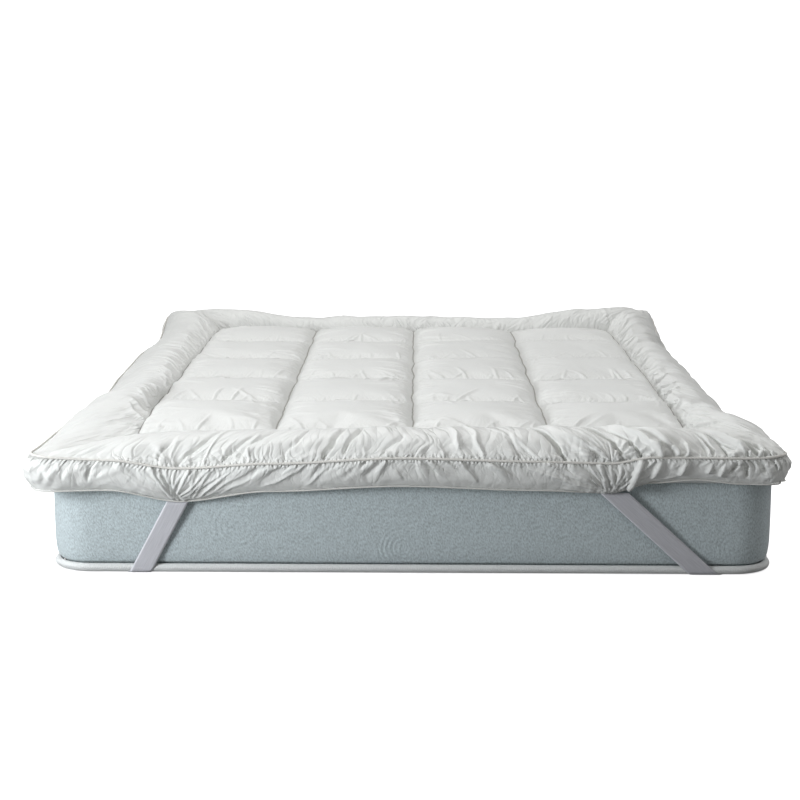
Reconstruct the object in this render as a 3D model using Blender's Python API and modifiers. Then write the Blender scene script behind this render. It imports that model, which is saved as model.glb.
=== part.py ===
"""Quilted mattress topper, held by elastic corner straps on a plain mattress.

Units are metres. +Z is up, +X points to the right and +Y from the foot end to the head end.
The origin is at the middle of the mattress's footprint, on the surface that it stands on.
"""

import math
from collections import namedtuple

import bmesh
import bpy
from mathutils import Vector, noise

# The mattress.
MATTRESS_WIDTH = 1.50
MATTRESS_LENGTH = 2.00
MATTRESS_HEIGHT = 0.22
MATTRESS_CORNER = 0.085  # radius of its upright corners, seen from above
MATTRESS_EDGE = 0.030  # radius of its upper edge
HALF_X, HALF_Y = MATTRESS_WIDTH / 2, MATTRESS_LENGTH / 2
CORNER_STEPS = 8
EDGE_STEPS = 4

# The side of the mattress, from the floor up: it is drawn in behind the tape round its foot.
SideRow = namedtuple("SideRow", "out z")
SIDE = (
    SideRow(-0.0200, 0.0),
    SideRow(-0.0185, 0.0195),
    SideRow(-0.0100, 0.0215),
    SideRow(-0.0040, 0.0320),
    SideRow(-0.0008, 0.0600),
    SideRow(0.0, 0.1100),
)

# The rolled tape round the mattress's foot.
TAPE_RADIUS = 0.0085
TAPE_LIFT = 0.0020  # leaves room for the straps that pass under it
TAPE_INSET = 0.0095  # from the mattress's side to the middle of the tape

# The topper's quilted middle.
QUILT_X, QUILT_Y = 0.585, 0.835  # half sizes, to the seam of the border
COLUMNS, ROWS = 4, 5
CELL_STEPS = 6  # faces along each side of a cell
SEAM_Z = 0.262
CROWN = 0.033  # of a cell above its seams
ROW_SEAM_LIFT = 0.35  # share of the crown that the short seams keep

# The topper's border and side wall.
CREST_AT = 0.42  # share of the border's width from the seam to its crest
PIPING_CORNER, HEM_CORNER = 0.045, 0.060  # radii, seen from above
PIPING_GROOVE = 0.012  # share of the border's width that the piping's seam draws in
WALL_BULGE = 0.006
CORNER_BULGE, CORNER_REACH = 0.009, 0.12  # the wall stands out more at its corners
MITRE_DEPTH, MITRE_REACH = 0.007, 0.035
UNDULATION, UNDULATION_PITCH = 0.008, 0.085

# The topper's underside, which follows the mattress's upper edge.
SKIN_GAP = 0.0003
EDGE_CLEARANCE = 0.0032
LIP_OUT = 0.0050
LIP_RISE = 0.006
LIP_TOP = 0.196
LIP_TURNS = (20, 50, 80)  # degrees round the mattress's upper edge

# Cords sewn into the seams.
PIPING_RADIUS, HEM_CORD_RADIUS = 0.0026, 0.0020
CORD_GAP = 0.0005

# Elastic straps.
STRAP_WIDTH = 0.040
STRAP_THICKNESS = 0.0012
STRAP_TAPE_GAP = 0.0005
STRAP_ARC_STEPS = 4
STRAP_TUCK = 0.0030  # how far below the hem's seam a strap starts
GROOVE_TOP = 0.0024
GROOVE_WIDTH = 0.044
CUTTER_HEIGHT = 0.02

# How the topper's edge lies, read along each edge of the mattress. at is x on the foot and head
# edges and y on the other two. out is how far the piping stands out from the mattress's side and
# hem_out how far the lower seam does; pipe_z, hem_z and crest_z are heights above the floor.
Station = namedtuple("Station", "edge at out pipe_z hem_out hem_z crest_z")
STATIONS = (
    Station("foot", -0.780, 0.062, 0.254, 0.050, 0.184, 0.276),
    Station("foot", -0.620, 0.052, 0.247, 0.032, 0.184, 0.277),
    Station("foot", -0.475, 0.042, 0.229, 0.016, 0.158, 0.280),
    Station("foot", -0.290, 0.046, 0.240, 0.022, 0.181, 0.284),
    Station("foot", -0.020, 0.050, 0.252, 0.028, 0.190, 0.291),
    Station("foot", 0.250, 0.048, 0.245, 0.025, 0.180, 0.292),
    Station("foot", 0.400, 0.042, 0.242, 0.016, 0.172, 0.294),
    Station("foot", 0.490, 0.050, 0.256, 0.026, 0.190, 0.294),
    Station("foot", 0.620, 0.056, 0.257, 0.034, 0.198, 0.291),
    Station("foot", 0.765, 0.062, 0.259, 0.048, 0.200, 0.280),
    Station("right", -1.062, 0.015, 0.259, 0.017, 0.200, 0.280),
    Station("right", -0.880, 0.008, 0.252, 0.017, 0.188, 0.284),
    Station("right", -0.710, -0.012, 0.226, 0.015, 0.166, 0.280),
    Station("right", -0.400, -0.013, 0.225, 0.015, 0.180, 0.281),
    Station("right", 0.250, -0.013, 0.226, 0.015, 0.184, 0.282),
    Station("right", 0.620, -0.014, 0.226, 0.014, 0.168, 0.282),
    Station("right", 0.800, -0.012, 0.244, 0.014, 0.190, 0.300),
    Station("right", 1.050, -0.008, 0.284, 0.014, 0.204, 0.324),
    Station("head", -0.766, 0.058, 0.280, 0.036, 0.202, 0.314),
    Station("head", -0.600, 0.046, 0.270, 0.026, 0.194, 0.313),
    Station("head", -0.400, 0.036, 0.238, 0.016, 0.166, 0.292),
    Station("head", -0.020, 0.042, 0.250, 0.024, 0.188, 0.293),
    Station("head", 0.330, 0.036, 0.238, 0.016, 0.166, 0.290),
    Station("head", 0.560, 0.046, 0.274, 0.026, 0.196, 0.318),
    Station("head", 0.742, 0.060, 0.286, 0.036, 0.204, 0.326),
    Station("left", -1.062, 0.030, 0.254, 0.022, 0.184, 0.276),
    Station("left", -0.800, 0.018, 0.252, 0.020, 0.190, 0.284),
    Station("left", -0.560, 0.012, 0.246, 0.018, 0.182, 0.284),
    Station("left", -0.340, 0.001, 0.236, 0.015, 0.164, 0.280),
    Station("left", 0.020, 0.008, 0.248, 0.018, 0.190, 0.285),
    Station("left", 0.420, 0.014, 0.248, 0.019, 0.188, 0.286),
    Station("left", 0.700, 0.006, 0.240, 0.015, 0.166, 0.284),
    Station("left", 1.045, 0.016, 0.282, 0.016, 0.202, 0.314),
)

# Where each strap leaves one hem and where it comes up to the next, as x on the foot or head
# edge and as y on the left or right edge.
Strap = namedtuple("Strap", "name end end_x side side_y")
STRAPS = (
    Strap("strap_foot_left", "foot", -0.476, "left", -0.335),
    Strap("strap_foot_right", "foot", 0.405, "right", -0.710),
    Strap("strap_head_left", "head", -0.400, "left", 0.700),
    Strap("strap_head_right", "head", 0.330, "right", 0.620),
)
FLAT = Vector((1, 1, 0))
DIRECTION = {"foot": -1, "head": 1, "left": -1, "right": 1}

Finish = namedtuple("Finish", "color roughness")
COTTON = Finish((0.86, 0.86, 0.84), 0.75)
CORD_COVER = Finish((0.80, 0.79, 0.76), 0.70)
ELASTIC = Finish((0.58, 0.58, 0.61), 0.60)
KNIT = Finish((0.55, 0.62, 0.66), 0.85)
TAPE_COVER = Finish((0.78, 0.80, 0.80), 0.75)


def clear_scene():
    for old in list(bpy.data.objects):
        bpy.data.objects.remove(old, do_unlink=True)


def new_collection(name):
    made = bpy.data.collections.new(name)
    bpy.context.scene.collection.children.link(made)
    return made


def new_material(name, finish):
    made = bpy.data.materials.new(name)
    made.use_nodes = True
    shader = made.node_tree.nodes["Principled BSDF"]
    shader.inputs["Base Color"].default_value = (*finish.color, 1.0)
    shader.inputs["Roughness"].default_value = finish.roughness
    shader.inputs["Metallic"].default_value = 0.0
    made.diffuse_color = (*finish.color, 1.0)
    return made


def new_object(name, data, finish, group):
    data.materials.append(new_material(name, finish))
    made = bpy.data.objects.new(name, data)
    group.objects.link(made)
    return made


def mesh_object(name, bm, finish, group):
    mesh = bpy.data.meshes.new(name)
    bm.to_mesh(mesh)
    bm.free()
    mesh.shade_smooth()
    mesh.set_sharp_from_angle(angle=math.radians(50))
    return new_object(name, mesh, finish, group)


def rounded(x, y, half_x, half_y, radius):
    """A point on the sides of a rectangle, moved onto the arc if it is near a corner."""
    over_x, over_y = abs(x) - (half_x - radius), abs(y) - (half_y - radius)
    if min(over_x, over_y) <= 0:
        return x, y
    scale = radius / math.hypot(over_x, over_y)
    return (
        math.copysign(half_x - radius + over_x * scale, x),
        math.copysign(half_y - radius + over_y * scale, y),
    )


# ---------------------------------------------------------------- how the topper's edge lies


def along_edge(edge, at, column):
    """The value of a column of STATIONS at a place along an edge, eased between its rows."""
    rows = [row for row in STATIONS if row.edge == edge]
    at = min(max(at, rows[0].at), rows[-1].at)
    for low, high in zip(rows, rows[1:]):
        if at <= high.at:
            share = (at - low.at) / (high.at - low.at)
            share = share * share * (3 - 2 * share)
            first, second = getattr(low, column), getattr(high, column)
            return first + (second - first) * share
    return getattr(rows[-1], column)


def edge_of(inner):
    """The edge that a point of the border's inner seam is on, and its share of the way, -1 to 1."""
    if abs(abs(inner.y) - QUILT_Y) < 1e-5:
        return ("foot" if inner.y < 0 else "head"), inner.x / QUILT_X
    return ("left" if inner.x < 0 else "right"), inner.y / QUILT_Y


def outline(edge, share, column, radius):
    """A point of the piping or of the hem, seen from above, and its place along the edge."""
    direction = DIRECTION[edge]
    if edge in ("foot", "head"):
        low = -HALF_X - along_edge("left", direction * 9, column)
        high = HALF_X + along_edge("right", direction * 9, column)
        at = low + (high - low) * (share + 1) / 2
        away = HALF_Y + along_edge(edge, at, column)
        corner = rounded(at, direction * away, high if at > 0 else -low, away, radius)
    else:
        low = -HALF_Y - along_edge("foot", direction * 9, column)
        high = HALF_Y + along_edge("head", direction * 9, column)
        at = low + (high - low) * (share + 1) / 2
        away = HALF_X + along_edge(edge, at, column)
        corner = rounded(direction * away, at, away, high if at > 0 else -low, radius)
    return Vector(corner), at


def mattress_outline(edge, share, out):
    """A point on the mattress's side, moved out by a distance, seen from above."""
    half_x, half_y = HALF_X + out, HALF_Y + out
    if edge in ("foot", "head"):
        x, y = share * half_x, DIRECTION[edge] * half_y
    else:
        x, y = DIRECTION[edge] * half_x, share * half_y
    return rounded(x, y, half_x, half_y, MATTRESS_CORNER + out)


def near_corner(edge, share, reach):
    """1 at a corner of the topper, falling off with the distance along the edge."""
    distance = (1 - abs(share)) * (QUILT_X if edge in ("foot", "head") else QUILT_Y)
    return math.exp(-((distance / reach) ** 2))


def undulation(x, y, layer):
    """The border isn't filled evenly: a smooth rise and fall along it."""
    return UNDULATION * noise.noise(Vector((x, y, layer)) / UNDULATION_PITCH)


def border_point(inner, part):
    """A point of the border. part is 0 at the quilt's seam, 1 at the crest and 2 at the piping."""
    edge, share = edge_of(inner)
    pipe, at = outline(edge, share, "out", PIPING_CORNER)
    pipe_z = along_edge(edge, at, "pipe_z")
    crest_z = along_edge(edge, at, "crest_z")
    crest_z -= MITRE_DEPTH * near_corner(edge, share, MITRE_REACH)
    if part <= 1:
        across = CREST_AT * part
        z = SEAM_Z + (crest_z - SEAM_Z) * math.sin(part * math.pi / 2) ** 0.7
    else:
        turn = (part - 1) * math.pi / 2
        across = CREST_AT + (1 - PIPING_GROOVE - CREST_AT) * math.sin(turn)
        z = pipe_z + (crest_z - pipe_z) * max(0.0, math.cos(turn)) ** 0.9
    place = inner.to_2d().lerp(pipe, across)
    z += undulation(*place, 0.0) * math.sin(part * math.pi / 2) ** 2
    return Vector((*place, z))


def wall_point(inner, down):
    """A point of the side wall. down is 0 at the piping and 1 at the hem."""
    edge, share = edge_of(inner)
    pipe, at = outline(edge, share, "out", PIPING_CORNER)
    hem, hem_at = outline(edge, share, "hem_out", HEM_CORNER)
    pipe_z = along_edge(edge, at, "pipe_z")
    hem_z = along_edge(edge, hem_at, "hem_z")
    place = pipe.lerp(hem, down)
    bulge = WALL_BULGE + CORNER_BULGE * near_corner(edge, share, CORNER_REACH)
    bulge *= math.sin(math.pi * down)
    bulge += undulation(*place, 1.0) * 0.5 * math.sin(math.pi * down)
    outward = (pipe - inner.to_2d()).normalized()
    return Vector((*(place + outward * bulge), pipe_z + (hem_z - pipe_z) * down))


def lip_point(inner, turn):
    """A point of the underside. turn is in degrees round the mattress's upper edge, less than 0
    on the hem's inner side and over 90 on the flat of the mattress."""
    edge, share = edge_of(inner)
    reach = MATTRESS_EDGE + EDGE_CLEARANCE
    if turn < 0:
        hem_at = outline(edge, share, "hem_out", HEM_CORNER)[1]
        out, z = LIP_OUT, min(LIP_TOP, along_edge(edge, hem_at, "hem_z") + LIP_RISE)
    elif turn <= 90:
        angle = math.radians(turn)
        out = reach * math.cos(angle) - MATTRESS_EDGE
        z = MATTRESS_HEIGHT - MATTRESS_EDGE + reach * math.sin(angle)
    else:
        out, z = -1.8 * MATTRESS_EDGE, MATTRESS_HEIGHT + SKIN_GAP
    return Vector((*mattress_outline(edge, share, out), z))


def cell_bulge(x, y):
    """The height of the quilted middle above its seams: one crowned cell in each panel."""
    across = (x + QUILT_X) / (2 * QUILT_X) * COLUMNS
    along = (y + QUILT_Y) / (2 * QUILT_Y) * ROWS
    side_x = abs(2 * (across - math.floor(across)) - 1)
    side_y = abs(2 * (along - math.floor(along)) - 1)
    crown_x = max(0.0, 1 - side_x**2.6) ** 0.6
    crown_y = max(0.0, 1 - side_y**2.6) ** 0.6
    if 0.5 < along < ROWS - 0.5:
        crown_y = ROW_SEAM_LIFT + (1 - ROW_SEAM_LIFT) * crown_y
    return CROWN * crown_x * crown_y


def build_topper(group):
    """The filled topper: quilted middle, border, side wall and underside in one closed skin."""
    bm = bmesh.new()
    bmesh.ops.create_grid(
        bm, x_segments=COLUMNS * CELL_STEPS, y_segments=ROWS * CELL_STEPS, size=1.0
    )
    bmesh.ops.scale(bm, vec=(QUILT_X, QUILT_Y, 1.0), verts=bm.verts[:])
    rim = [edge for edge in bm.edges if edge.is_boundary]
    bmesh.ops.subdivide_edges(bm, edges=rim, cuts=1)
    inner_seam = bm.verts.layers.float_vector.new("inner_seam")
    for vert in bm.verts:
        vert[inner_seam] = vert.co
        vert.co.z = SEAM_Z
        if not vert.is_boundary:
            vert.co.z += cell_bulge(vert.co.x, vert.co.y)

    rings = [(border_point, part) for part in (0.40, 1.0, 1.35, 1.70, 2.0)]
    rings += [(wall_point, down) for down in (0.28, 0.70, 1.0)]
    rings += [(lip_point, turn) for turn in (-1, *LIP_TURNS, 91)]
    rim = [edge for edge in bm.edges if edge.is_boundary]
    for place, setting in rings:
        made = bmesh.ops.extrude_edge_only(bm, edges=rim)["geom"]
        rim = [part for part in made if isinstance(part, bmesh.types.BMEdge)]
        for vert in made:
            if isinstance(vert, bmesh.types.BMVert):
                vert.co = place(vert[inner_seam], setting)
    bmesh.ops.contextual_create(bm, geom=rim)
    bmesh.ops.recalc_face_normals(bm, faces=bm.faces[:])
    return mesh_object("topper", bm, COTTON, group)


# ---------------------------------------------------------------- cords in the seams


def seam_walk():
    """Points of the border's inner seam, once round: the cords turn where the topper does."""
    corners = ((-1, -1), (1, -1), (1, 1), (-1, 1), (-1, -1))
    for (x0, y0), (x1, y1) in zip(corners, corners[1:]):
        steps = 2 * CELL_STEPS * (COLUMNS if y0 == y1 else ROWS)
        for step in range(steps):
            share = step / steps
            yield Vector(
                (QUILT_X * (x0 + (x1 - x0) * share), QUILT_Y * (y0 + (y1 - y0) * share), 0)
            )


def across(vector, tangent):
    """What is left of a vector without its part along a unit tangent."""
    return vector - tangent * vector.dot(tangent)


def beside_seam(seam, tangent, faces, hint, radius):
    """The middle of a cord against the two faces that meet in a seam, on the side of hint."""
    above, below = (across(face - seam, tangent) for face in faces)
    away = across(across(hint, tangent), (below - above).normalized()).normalized()
    narrow = 1.0
    for face in (above, below):
        if face.dot(away) > 0:
            narrow = min(narrow, face.normalized().cross(away).length)
    return seam + away * (radius + CORD_GAP) / narrow


def piping_seam(inner):
    return border_point(inner, 2.0)


def hem_seam(inner):
    return wall_point(inner, 1.0)


def piping_point(inner, tangent):
    """The middle of the piping, in the groove between border and wall."""
    groove = piping_seam(inner)
    faces = border_point(inner, 1.7), wall_point(inner, 0.28)
    return beside_seam(groove, tangent, faces, (groove - inner) * FLAT, PIPING_RADIUS)


def hem_cord_point(inner, tangent):
    """The middle of the cord in the lower seam, below the wall."""
    hem = hem_seam(inner)
    faces = wall_point(inner, 0.7), lip_point(inner, -1)
    down = ((hem - inner) * FLAT).normalized() * 0.4 - Vector((0, 0, 1))
    return beside_seam(hem, tangent, faces, down, HEM_CORD_RADIUS)


def build_cord(name, seam_point, cord_point, radius, resolution, group):
    """A cord sewn all round a seam, as a closed curve."""
    curve = bpy.data.curves.new(name, "CURVE")
    curve.dimensions = "3D"
    curve.bevel_depth = radius
    curve.bevel_resolution = resolution
    walk = list(seam_walk())
    seam = [seam_point(inner) for inner in walk]
    spline = curve.splines.new("POLY")
    spline.points.add(len(walk) - 1)
    for number, inner in enumerate(walk):
        tangent = (seam[(number + 1) % len(seam)] - seam[number - 1]).normalized()
        spline.points[number].co = (*cord_point(inner, tangent), 1.0)
    spline.use_cyclic_u = True
    return new_object(name, curve, CORD_COVER, group)


# ---------------------------------------------------------------- straps


def strap_route(row):
    """A strap's ends with the mattress's sides folded down flat: its middle line is straight."""
    end, side = DIRECTION[row.end], DIRECTION[row.side]
    start = Vector((row.end_x, end * (HALF_Y + along_edge(row.end, row.end_x, "hem_z"))))
    finish = Vector((side * (HALF_X + along_edge(row.side, row.side_y, "hem_z")), row.side_y))
    return start, finish


def strap_cuts(edge, at):
    """Cuts across a strap from the hem of one edge down to the mattress's underside.

    Each is (distance past the fold line in the folded-down plane, distance out, height) of the
    strap's inner face. The fold line is right under the middle of the tape.
    """
    bend = TAPE_RADIUS + STRAP_TAPE_GAP
    middle_z = TAPE_LIFT + TAPE_RADIUS
    quarter = bend * math.pi / 2
    rise = along_edge(edge, at, "hem_z") - STRAP_TUCK - middle_z
    hem_out = along_edge(edge, at, "hem_out") - 0.003 + TAPE_INSET
    for climb in (1.0, 0.5):
        yield quarter + rise * climb, bend + (hem_out - bend) * climb, middle_z + rise * climb
    for step in range(STRAP_ARC_STEPS, -1, -1):
        turn = step / STRAP_ARC_STEPS * math.pi / 2
        yield bend * turn, bend * math.sin(turn), middle_z - bend * math.cos(turn)


def build_strap(row, group):
    """An elastic strap: from one hem down, under the mattress's corner and up to the next hem."""
    start, finish = strap_route(row)
    way = (finish - start).normalized()
    across = Vector((-way.y, way.x)) * STRAP_WIDTH / 2
    cuts = [(row.end, *cut) for cut in strap_cuts(row.end, row.end_x)]
    cuts += [(row.side, *cut) for cut in reversed(list(strap_cuts(row.side, row.side_y)))]
    bm = bmesh.new()
    bmesh.ops.create_grid(bm, x_segments=1, y_segments=len(cuts) - 1, size=0.5)
    for vert in bm.verts:
        edge, level, out, z = cuts[round((vert.co.y + 0.5) * (len(cuts) - 1))]
        line = start + across * math.copysign(1, vert.co.x)
        if edge in ("foot", "head"):
            fold = HALF_Y - TAPE_INSET
            line += way * ((DIRECTION[edge] * (fold + level) - line.y) / way.y)
            line.y = DIRECTION[edge] * (fold + out)
        else:
            fold = HALF_X - TAPE_INSET
            line += way * ((DIRECTION[edge] * (fold + level) - line.x) / way.x)
            line.x = DIRECTION[edge] * (fold + out)
        vert.co = (*line, z)
    bm.normal_update()
    bm.faces.ensure_lookup_table()
    if bm.faces[0].normal.y * DIRECTION[row.end] < 0:
        bmesh.ops.reverse_faces(bm, faces=bm.faces[:])
    made = mesh_object(row.name, bm, ELASTIC, group)
    thickness = made.modifiers.new("thickness", "SOLIDIFY")
    thickness.thickness = STRAP_THICKNESS
    thickness.offset = 1.0
    return made


# ---------------------------------------------------------------- the mattress


def build_mattress(group, cutters):
    """The plain mattress: rounded rectangles drawn up its side, with a way for each strap."""
    rows = [(row.out, row.z) for row in SIDE]
    for step in range(EDGE_STEPS + 1):
        turn = step / EDGE_STEPS * math.pi / 2
        rows.append(
            (
                MATTRESS_EDGE * (math.cos(turn) - 1),
                MATTRESS_HEIGHT + MATTRESS_EDGE * (math.sin(turn) - 1),
            )
        )
    bm = bmesh.new()
    segments = 4 * (CORNER_STEPS + 1)
    bmesh.ops.create_circle(bm, segments=segments, radius=1.0, cap_ends=True)
    on_circle = bm.verts.layers.float_vector.new("on_circle")
    for vert in bm.verts:
        vert[on_circle] = vert.co
    rim = bm.edges[:]
    for number, (out, z) in enumerate(rows):
        verts = bm.verts[:]
        if number:
            made = bmesh.ops.extrude_edge_only(bm, edges=rim)["geom"]
            rim = [part for part in made if isinstance(part, bmesh.types.BMEdge)]
            verts = [part for part in made if isinstance(part, bmesh.types.BMVert)]
        radius = MATTRESS_CORNER + out
        for vert in verts:
            around = math.atan2(vert[on_circle].y, vert[on_circle].x) / math.tau % 1
            quarter, index = divmod(round(around * segments) % segments, CORNER_STEPS + 1)
            turn = (quarter + index / CORNER_STEPS) * math.pi / 2
            sign_x, sign_y = ((1, 1), (-1, 1), (-1, -1), (1, -1))[quarter]
            vert.co = (
                sign_x * (HALF_X + out - radius) + radius * math.cos(turn),
                sign_y * (HALF_Y + out - radius) + radius * math.sin(turn),
                z,
            )
    bmesh.ops.contextual_create(bm, geom=rim)
    bmesh.ops.recalc_face_normals(bm, faces=bm.faces[:])
    made = mesh_object("mattress", bm, KNIT, group)
    for row in STRAPS:
        cut = made.modifiers.new(row.name, "BOOLEAN")
        cut.operation = "DIFFERENCE"
        cut.solver = "EXACT"
        cut.object = build_cutter(row, cutters)
    return made


def build_cutter(row, group):
    """A flat bar that presses a strap's way into the mattress's underside."""
    start, finish = strap_route(row)
    way = finish - start
    bm = bmesh.new()
    bmesh.ops.create_cube(bm, size=1.0)
    bmesh.ops.scale(bm, vec=(way.length, GROOVE_WIDTH, CUTTER_HEIGHT), verts=bm.verts[:])
    made = mesh_object("way_of_" + row.name, bm, KNIT, group)
    made.location = (*((start + finish) / 2), GROOVE_TOP - CUTTER_HEIGHT / 2)
    made.rotation_euler.z = math.atan2(way.y, way.x)
    made.hide_render = True
    made.display_type = "WIRE"
    return made


def build_tape(group):
    """The rolled tape round the mattress's foot, as a closed curve."""
    curve = bpy.data.curves.new("mattress_tape", "CURVE")
    curve.dimensions = "3D"
    curve.bevel_depth = TAPE_RADIUS
    curve.bevel_resolution = 2
    spline = curve.splines.new("POLY")
    spline.points.add(4 * (CORNER_STEPS + 1) - 1)
    radius = MATTRESS_CORNER - TAPE_INSET
    centres = ((1, 1), (-1, 1), (-1, -1), (1, -1))
    for number, point in enumerate(spline.points):
        quarter, index = divmod(number, CORNER_STEPS + 1)
        turn = (quarter + index / CORNER_STEPS) * math.pi / 2
        x = centres[quarter][0] * (HALF_X - MATTRESS_CORNER) + radius * math.cos(turn)
        y = centres[quarter][1] * (HALF_Y - MATTRESS_CORNER) + radius * math.sin(turn)
        point.co = (x, y, TAPE_LIFT + TAPE_RADIUS, 1.0)
    spline.use_cyclic_u = True
    return new_object("mattress_tape", curve, TAPE_COVER, group)


def main():
    clear_scene()
    group = new_collection("mattress_topper")
    cutters = new_collection("cutters")
    base = bpy.data.objects.new("mattress_topper_base", None)
    group.objects.link(base)
    made = [
        build_mattress(group, cutters),
        build_tape(group),
        build_topper(group),
        build_cord("piping_upper", piping_seam, piping_point, PIPING_RADIUS, 1, group),
        build_cord("piping_lower", hem_seam, hem_cord_point, HEM_CORD_RADIUS, 0, group),
    ]
    made += [build_strap(row, group) for row in STRAPS]
    for piece in made:
        piece.parent = base


main()
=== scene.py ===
"""Dresses the mattress topper and its mattress: cover, cords, straps, knitted sides and stage.

It is laid out as a Blender add-on and is run as a script. Lengths are metres, +Z is up, and -Y
is the foot end, which faces the camera.
"""

import math
from collections import namedtuple

import bmesh
import bpy
import numpy as np
from bpy.props import FloatProperty, FloatVectorProperty, IntProperty, PointerProperty
from bpy.types import Operator, Panel, PropertyGroup
from mathutils import Matrix, Vector, noise


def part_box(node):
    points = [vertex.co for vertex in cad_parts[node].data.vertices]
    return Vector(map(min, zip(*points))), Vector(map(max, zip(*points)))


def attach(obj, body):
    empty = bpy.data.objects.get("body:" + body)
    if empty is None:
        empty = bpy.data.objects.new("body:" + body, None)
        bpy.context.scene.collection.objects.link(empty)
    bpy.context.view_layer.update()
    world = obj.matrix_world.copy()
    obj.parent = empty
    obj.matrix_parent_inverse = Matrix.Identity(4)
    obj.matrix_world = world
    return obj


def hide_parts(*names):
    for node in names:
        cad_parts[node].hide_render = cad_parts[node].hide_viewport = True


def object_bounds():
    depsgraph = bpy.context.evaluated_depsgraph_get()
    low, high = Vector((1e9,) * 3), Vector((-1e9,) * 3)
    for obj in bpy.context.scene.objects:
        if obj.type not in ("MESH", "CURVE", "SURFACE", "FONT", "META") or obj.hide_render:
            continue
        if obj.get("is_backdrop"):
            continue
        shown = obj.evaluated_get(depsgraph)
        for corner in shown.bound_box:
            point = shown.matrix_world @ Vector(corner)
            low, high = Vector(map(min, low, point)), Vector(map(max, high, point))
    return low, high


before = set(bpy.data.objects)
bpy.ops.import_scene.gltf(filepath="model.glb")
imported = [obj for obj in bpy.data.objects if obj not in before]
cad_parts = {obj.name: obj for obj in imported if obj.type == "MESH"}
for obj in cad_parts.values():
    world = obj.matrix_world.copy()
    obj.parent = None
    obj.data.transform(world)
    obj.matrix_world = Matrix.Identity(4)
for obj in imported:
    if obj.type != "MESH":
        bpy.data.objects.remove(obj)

bl_info = {
    "name": "Mattress topper",
    "version": (1, 0, 0),
    "blender": (4, 5, 0),
    "location": "View3D > Sidebar > Bed",
    "description": "Quilted topper with corner straps on a mattress",
    "category": "Object",
}

CAD_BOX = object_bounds()
MATTRESS_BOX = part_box("mattress")
HALF_X, HALF_Y = MATTRESS_BOX[1][0], MATTRESS_BOX[1][1]
MATTRESS_TOP = MATTRESS_BOX[1][2]

# ------------------------------------------------------------ how the topper lies
# Stations along each edge, as in the part's source with small changes from a closer look at the
# photo: where they are (x on the foot and head edges, y on the long sides), how far the piping
# stands out from the mattress and its height, the same for the hem, and the crest's height.

Station = namedtuple("Station", "at out pipe_z hem_out hem_z crest_z")
STATIONS = {
    "foot": (
        (-0.780, 0.062, 0.254, 0.050, 0.184, 0.266),
        (-0.620, 0.052, 0.247, 0.032, 0.184, 0.277),
        (-0.475, 0.042, 0.229, 0.016, 0.158, 0.280),
        (-0.290, 0.046, 0.240, 0.022, 0.181, 0.284),
        (-0.020, 0.050, 0.253, 0.028, 0.194, 0.291),
        (0.250, 0.048, 0.247, 0.025, 0.186, 0.292),
        (0.400, 0.042, 0.243, 0.016, 0.180, 0.294),
        (0.490, 0.050, 0.257, 0.026, 0.203, 0.294),
        (0.575, 0.054, 0.257, 0.030, 0.210, 0.293),
        (0.670, 0.057, 0.257, 0.034, 0.203, 0.289),
        (0.765, 0.060, 0.260, 0.044, 0.203, 0.282),
    ),
    "right": (
        (-1.062, 0.010, 0.260, 0.011, 0.209, 0.282),
        (-0.880, 0.006, 0.254, 0.015, 0.188, 0.296),
        (-0.710, -0.012, 0.226, 0.015, 0.166, 0.284),
        (-0.560, -0.013, 0.225, 0.015, 0.174, 0.274),
        (-0.400, -0.013, 0.225, 0.015, 0.180, 0.280),
        (0.250, -0.013, 0.226, 0.015, 0.184, 0.282),
        (0.620, -0.014, 0.226, 0.014, 0.168, 0.282),
        (0.800, -0.012, 0.244, 0.014, 0.190, 0.300),
        (1.050, -0.008, 0.284, 0.014, 0.204, 0.324),
    ),
    "head": (
        (-0.766, 0.058, 0.280, 0.036, 0.202, 0.314),
        (-0.600, 0.046, 0.270, 0.026, 0.194, 0.313),
        (-0.400, 0.036, 0.238, 0.016, 0.166, 0.292),
        (-0.020, 0.042, 0.250, 0.024, 0.188, 0.293),
        (0.330, 0.036, 0.238, 0.016, 0.166, 0.290),
        (0.560, 0.046, 0.274, 0.026, 0.196, 0.318),
        (0.742, 0.060, 0.286, 0.036, 0.204, 0.326),
    ),
    "left": (
        (-1.062, 0.028, 0.254, 0.032, 0.184, 0.266),
        (-0.870, 0.023, 0.251, 0.021, 0.188, 0.272),
        (-0.700, 0.017, 0.252, 0.020, 0.190, 0.294),
        (-0.540, 0.012, 0.246, 0.018, 0.182, 0.298),
        (-0.340, 0.001, 0.236, 0.015, 0.164, 0.280),
        (0.020, 0.008, 0.248, 0.018, 0.190, 0.285),
        (0.420, 0.014, 0.248, 0.019, 0.188, 0.286),
        (0.700, 0.006, 0.240, 0.015, 0.166, 0.284),
        (1.045, 0.016, 0.282, 0.016, 0.202, 0.314),
    ),
}

Strap = namedtuple("Strap", "name end end_x side side_y")
STRAPS = (
    Strap("strap_foot_left", "foot", -0.476, "left", -0.335),
    Strap("strap_foot_right", "foot", 0.405, "right", -0.710),
    Strap("strap_head_left", "head", -0.400, "left", 0.700),
    Strap("strap_head_right", "head", 0.330, "right", 0.620),
)
ENDS, SIDES = ("foot", "head"), ("left", "right")
DIRECTION = {"foot": -1, "head": 1, "left": -1, "right": 1}

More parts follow.
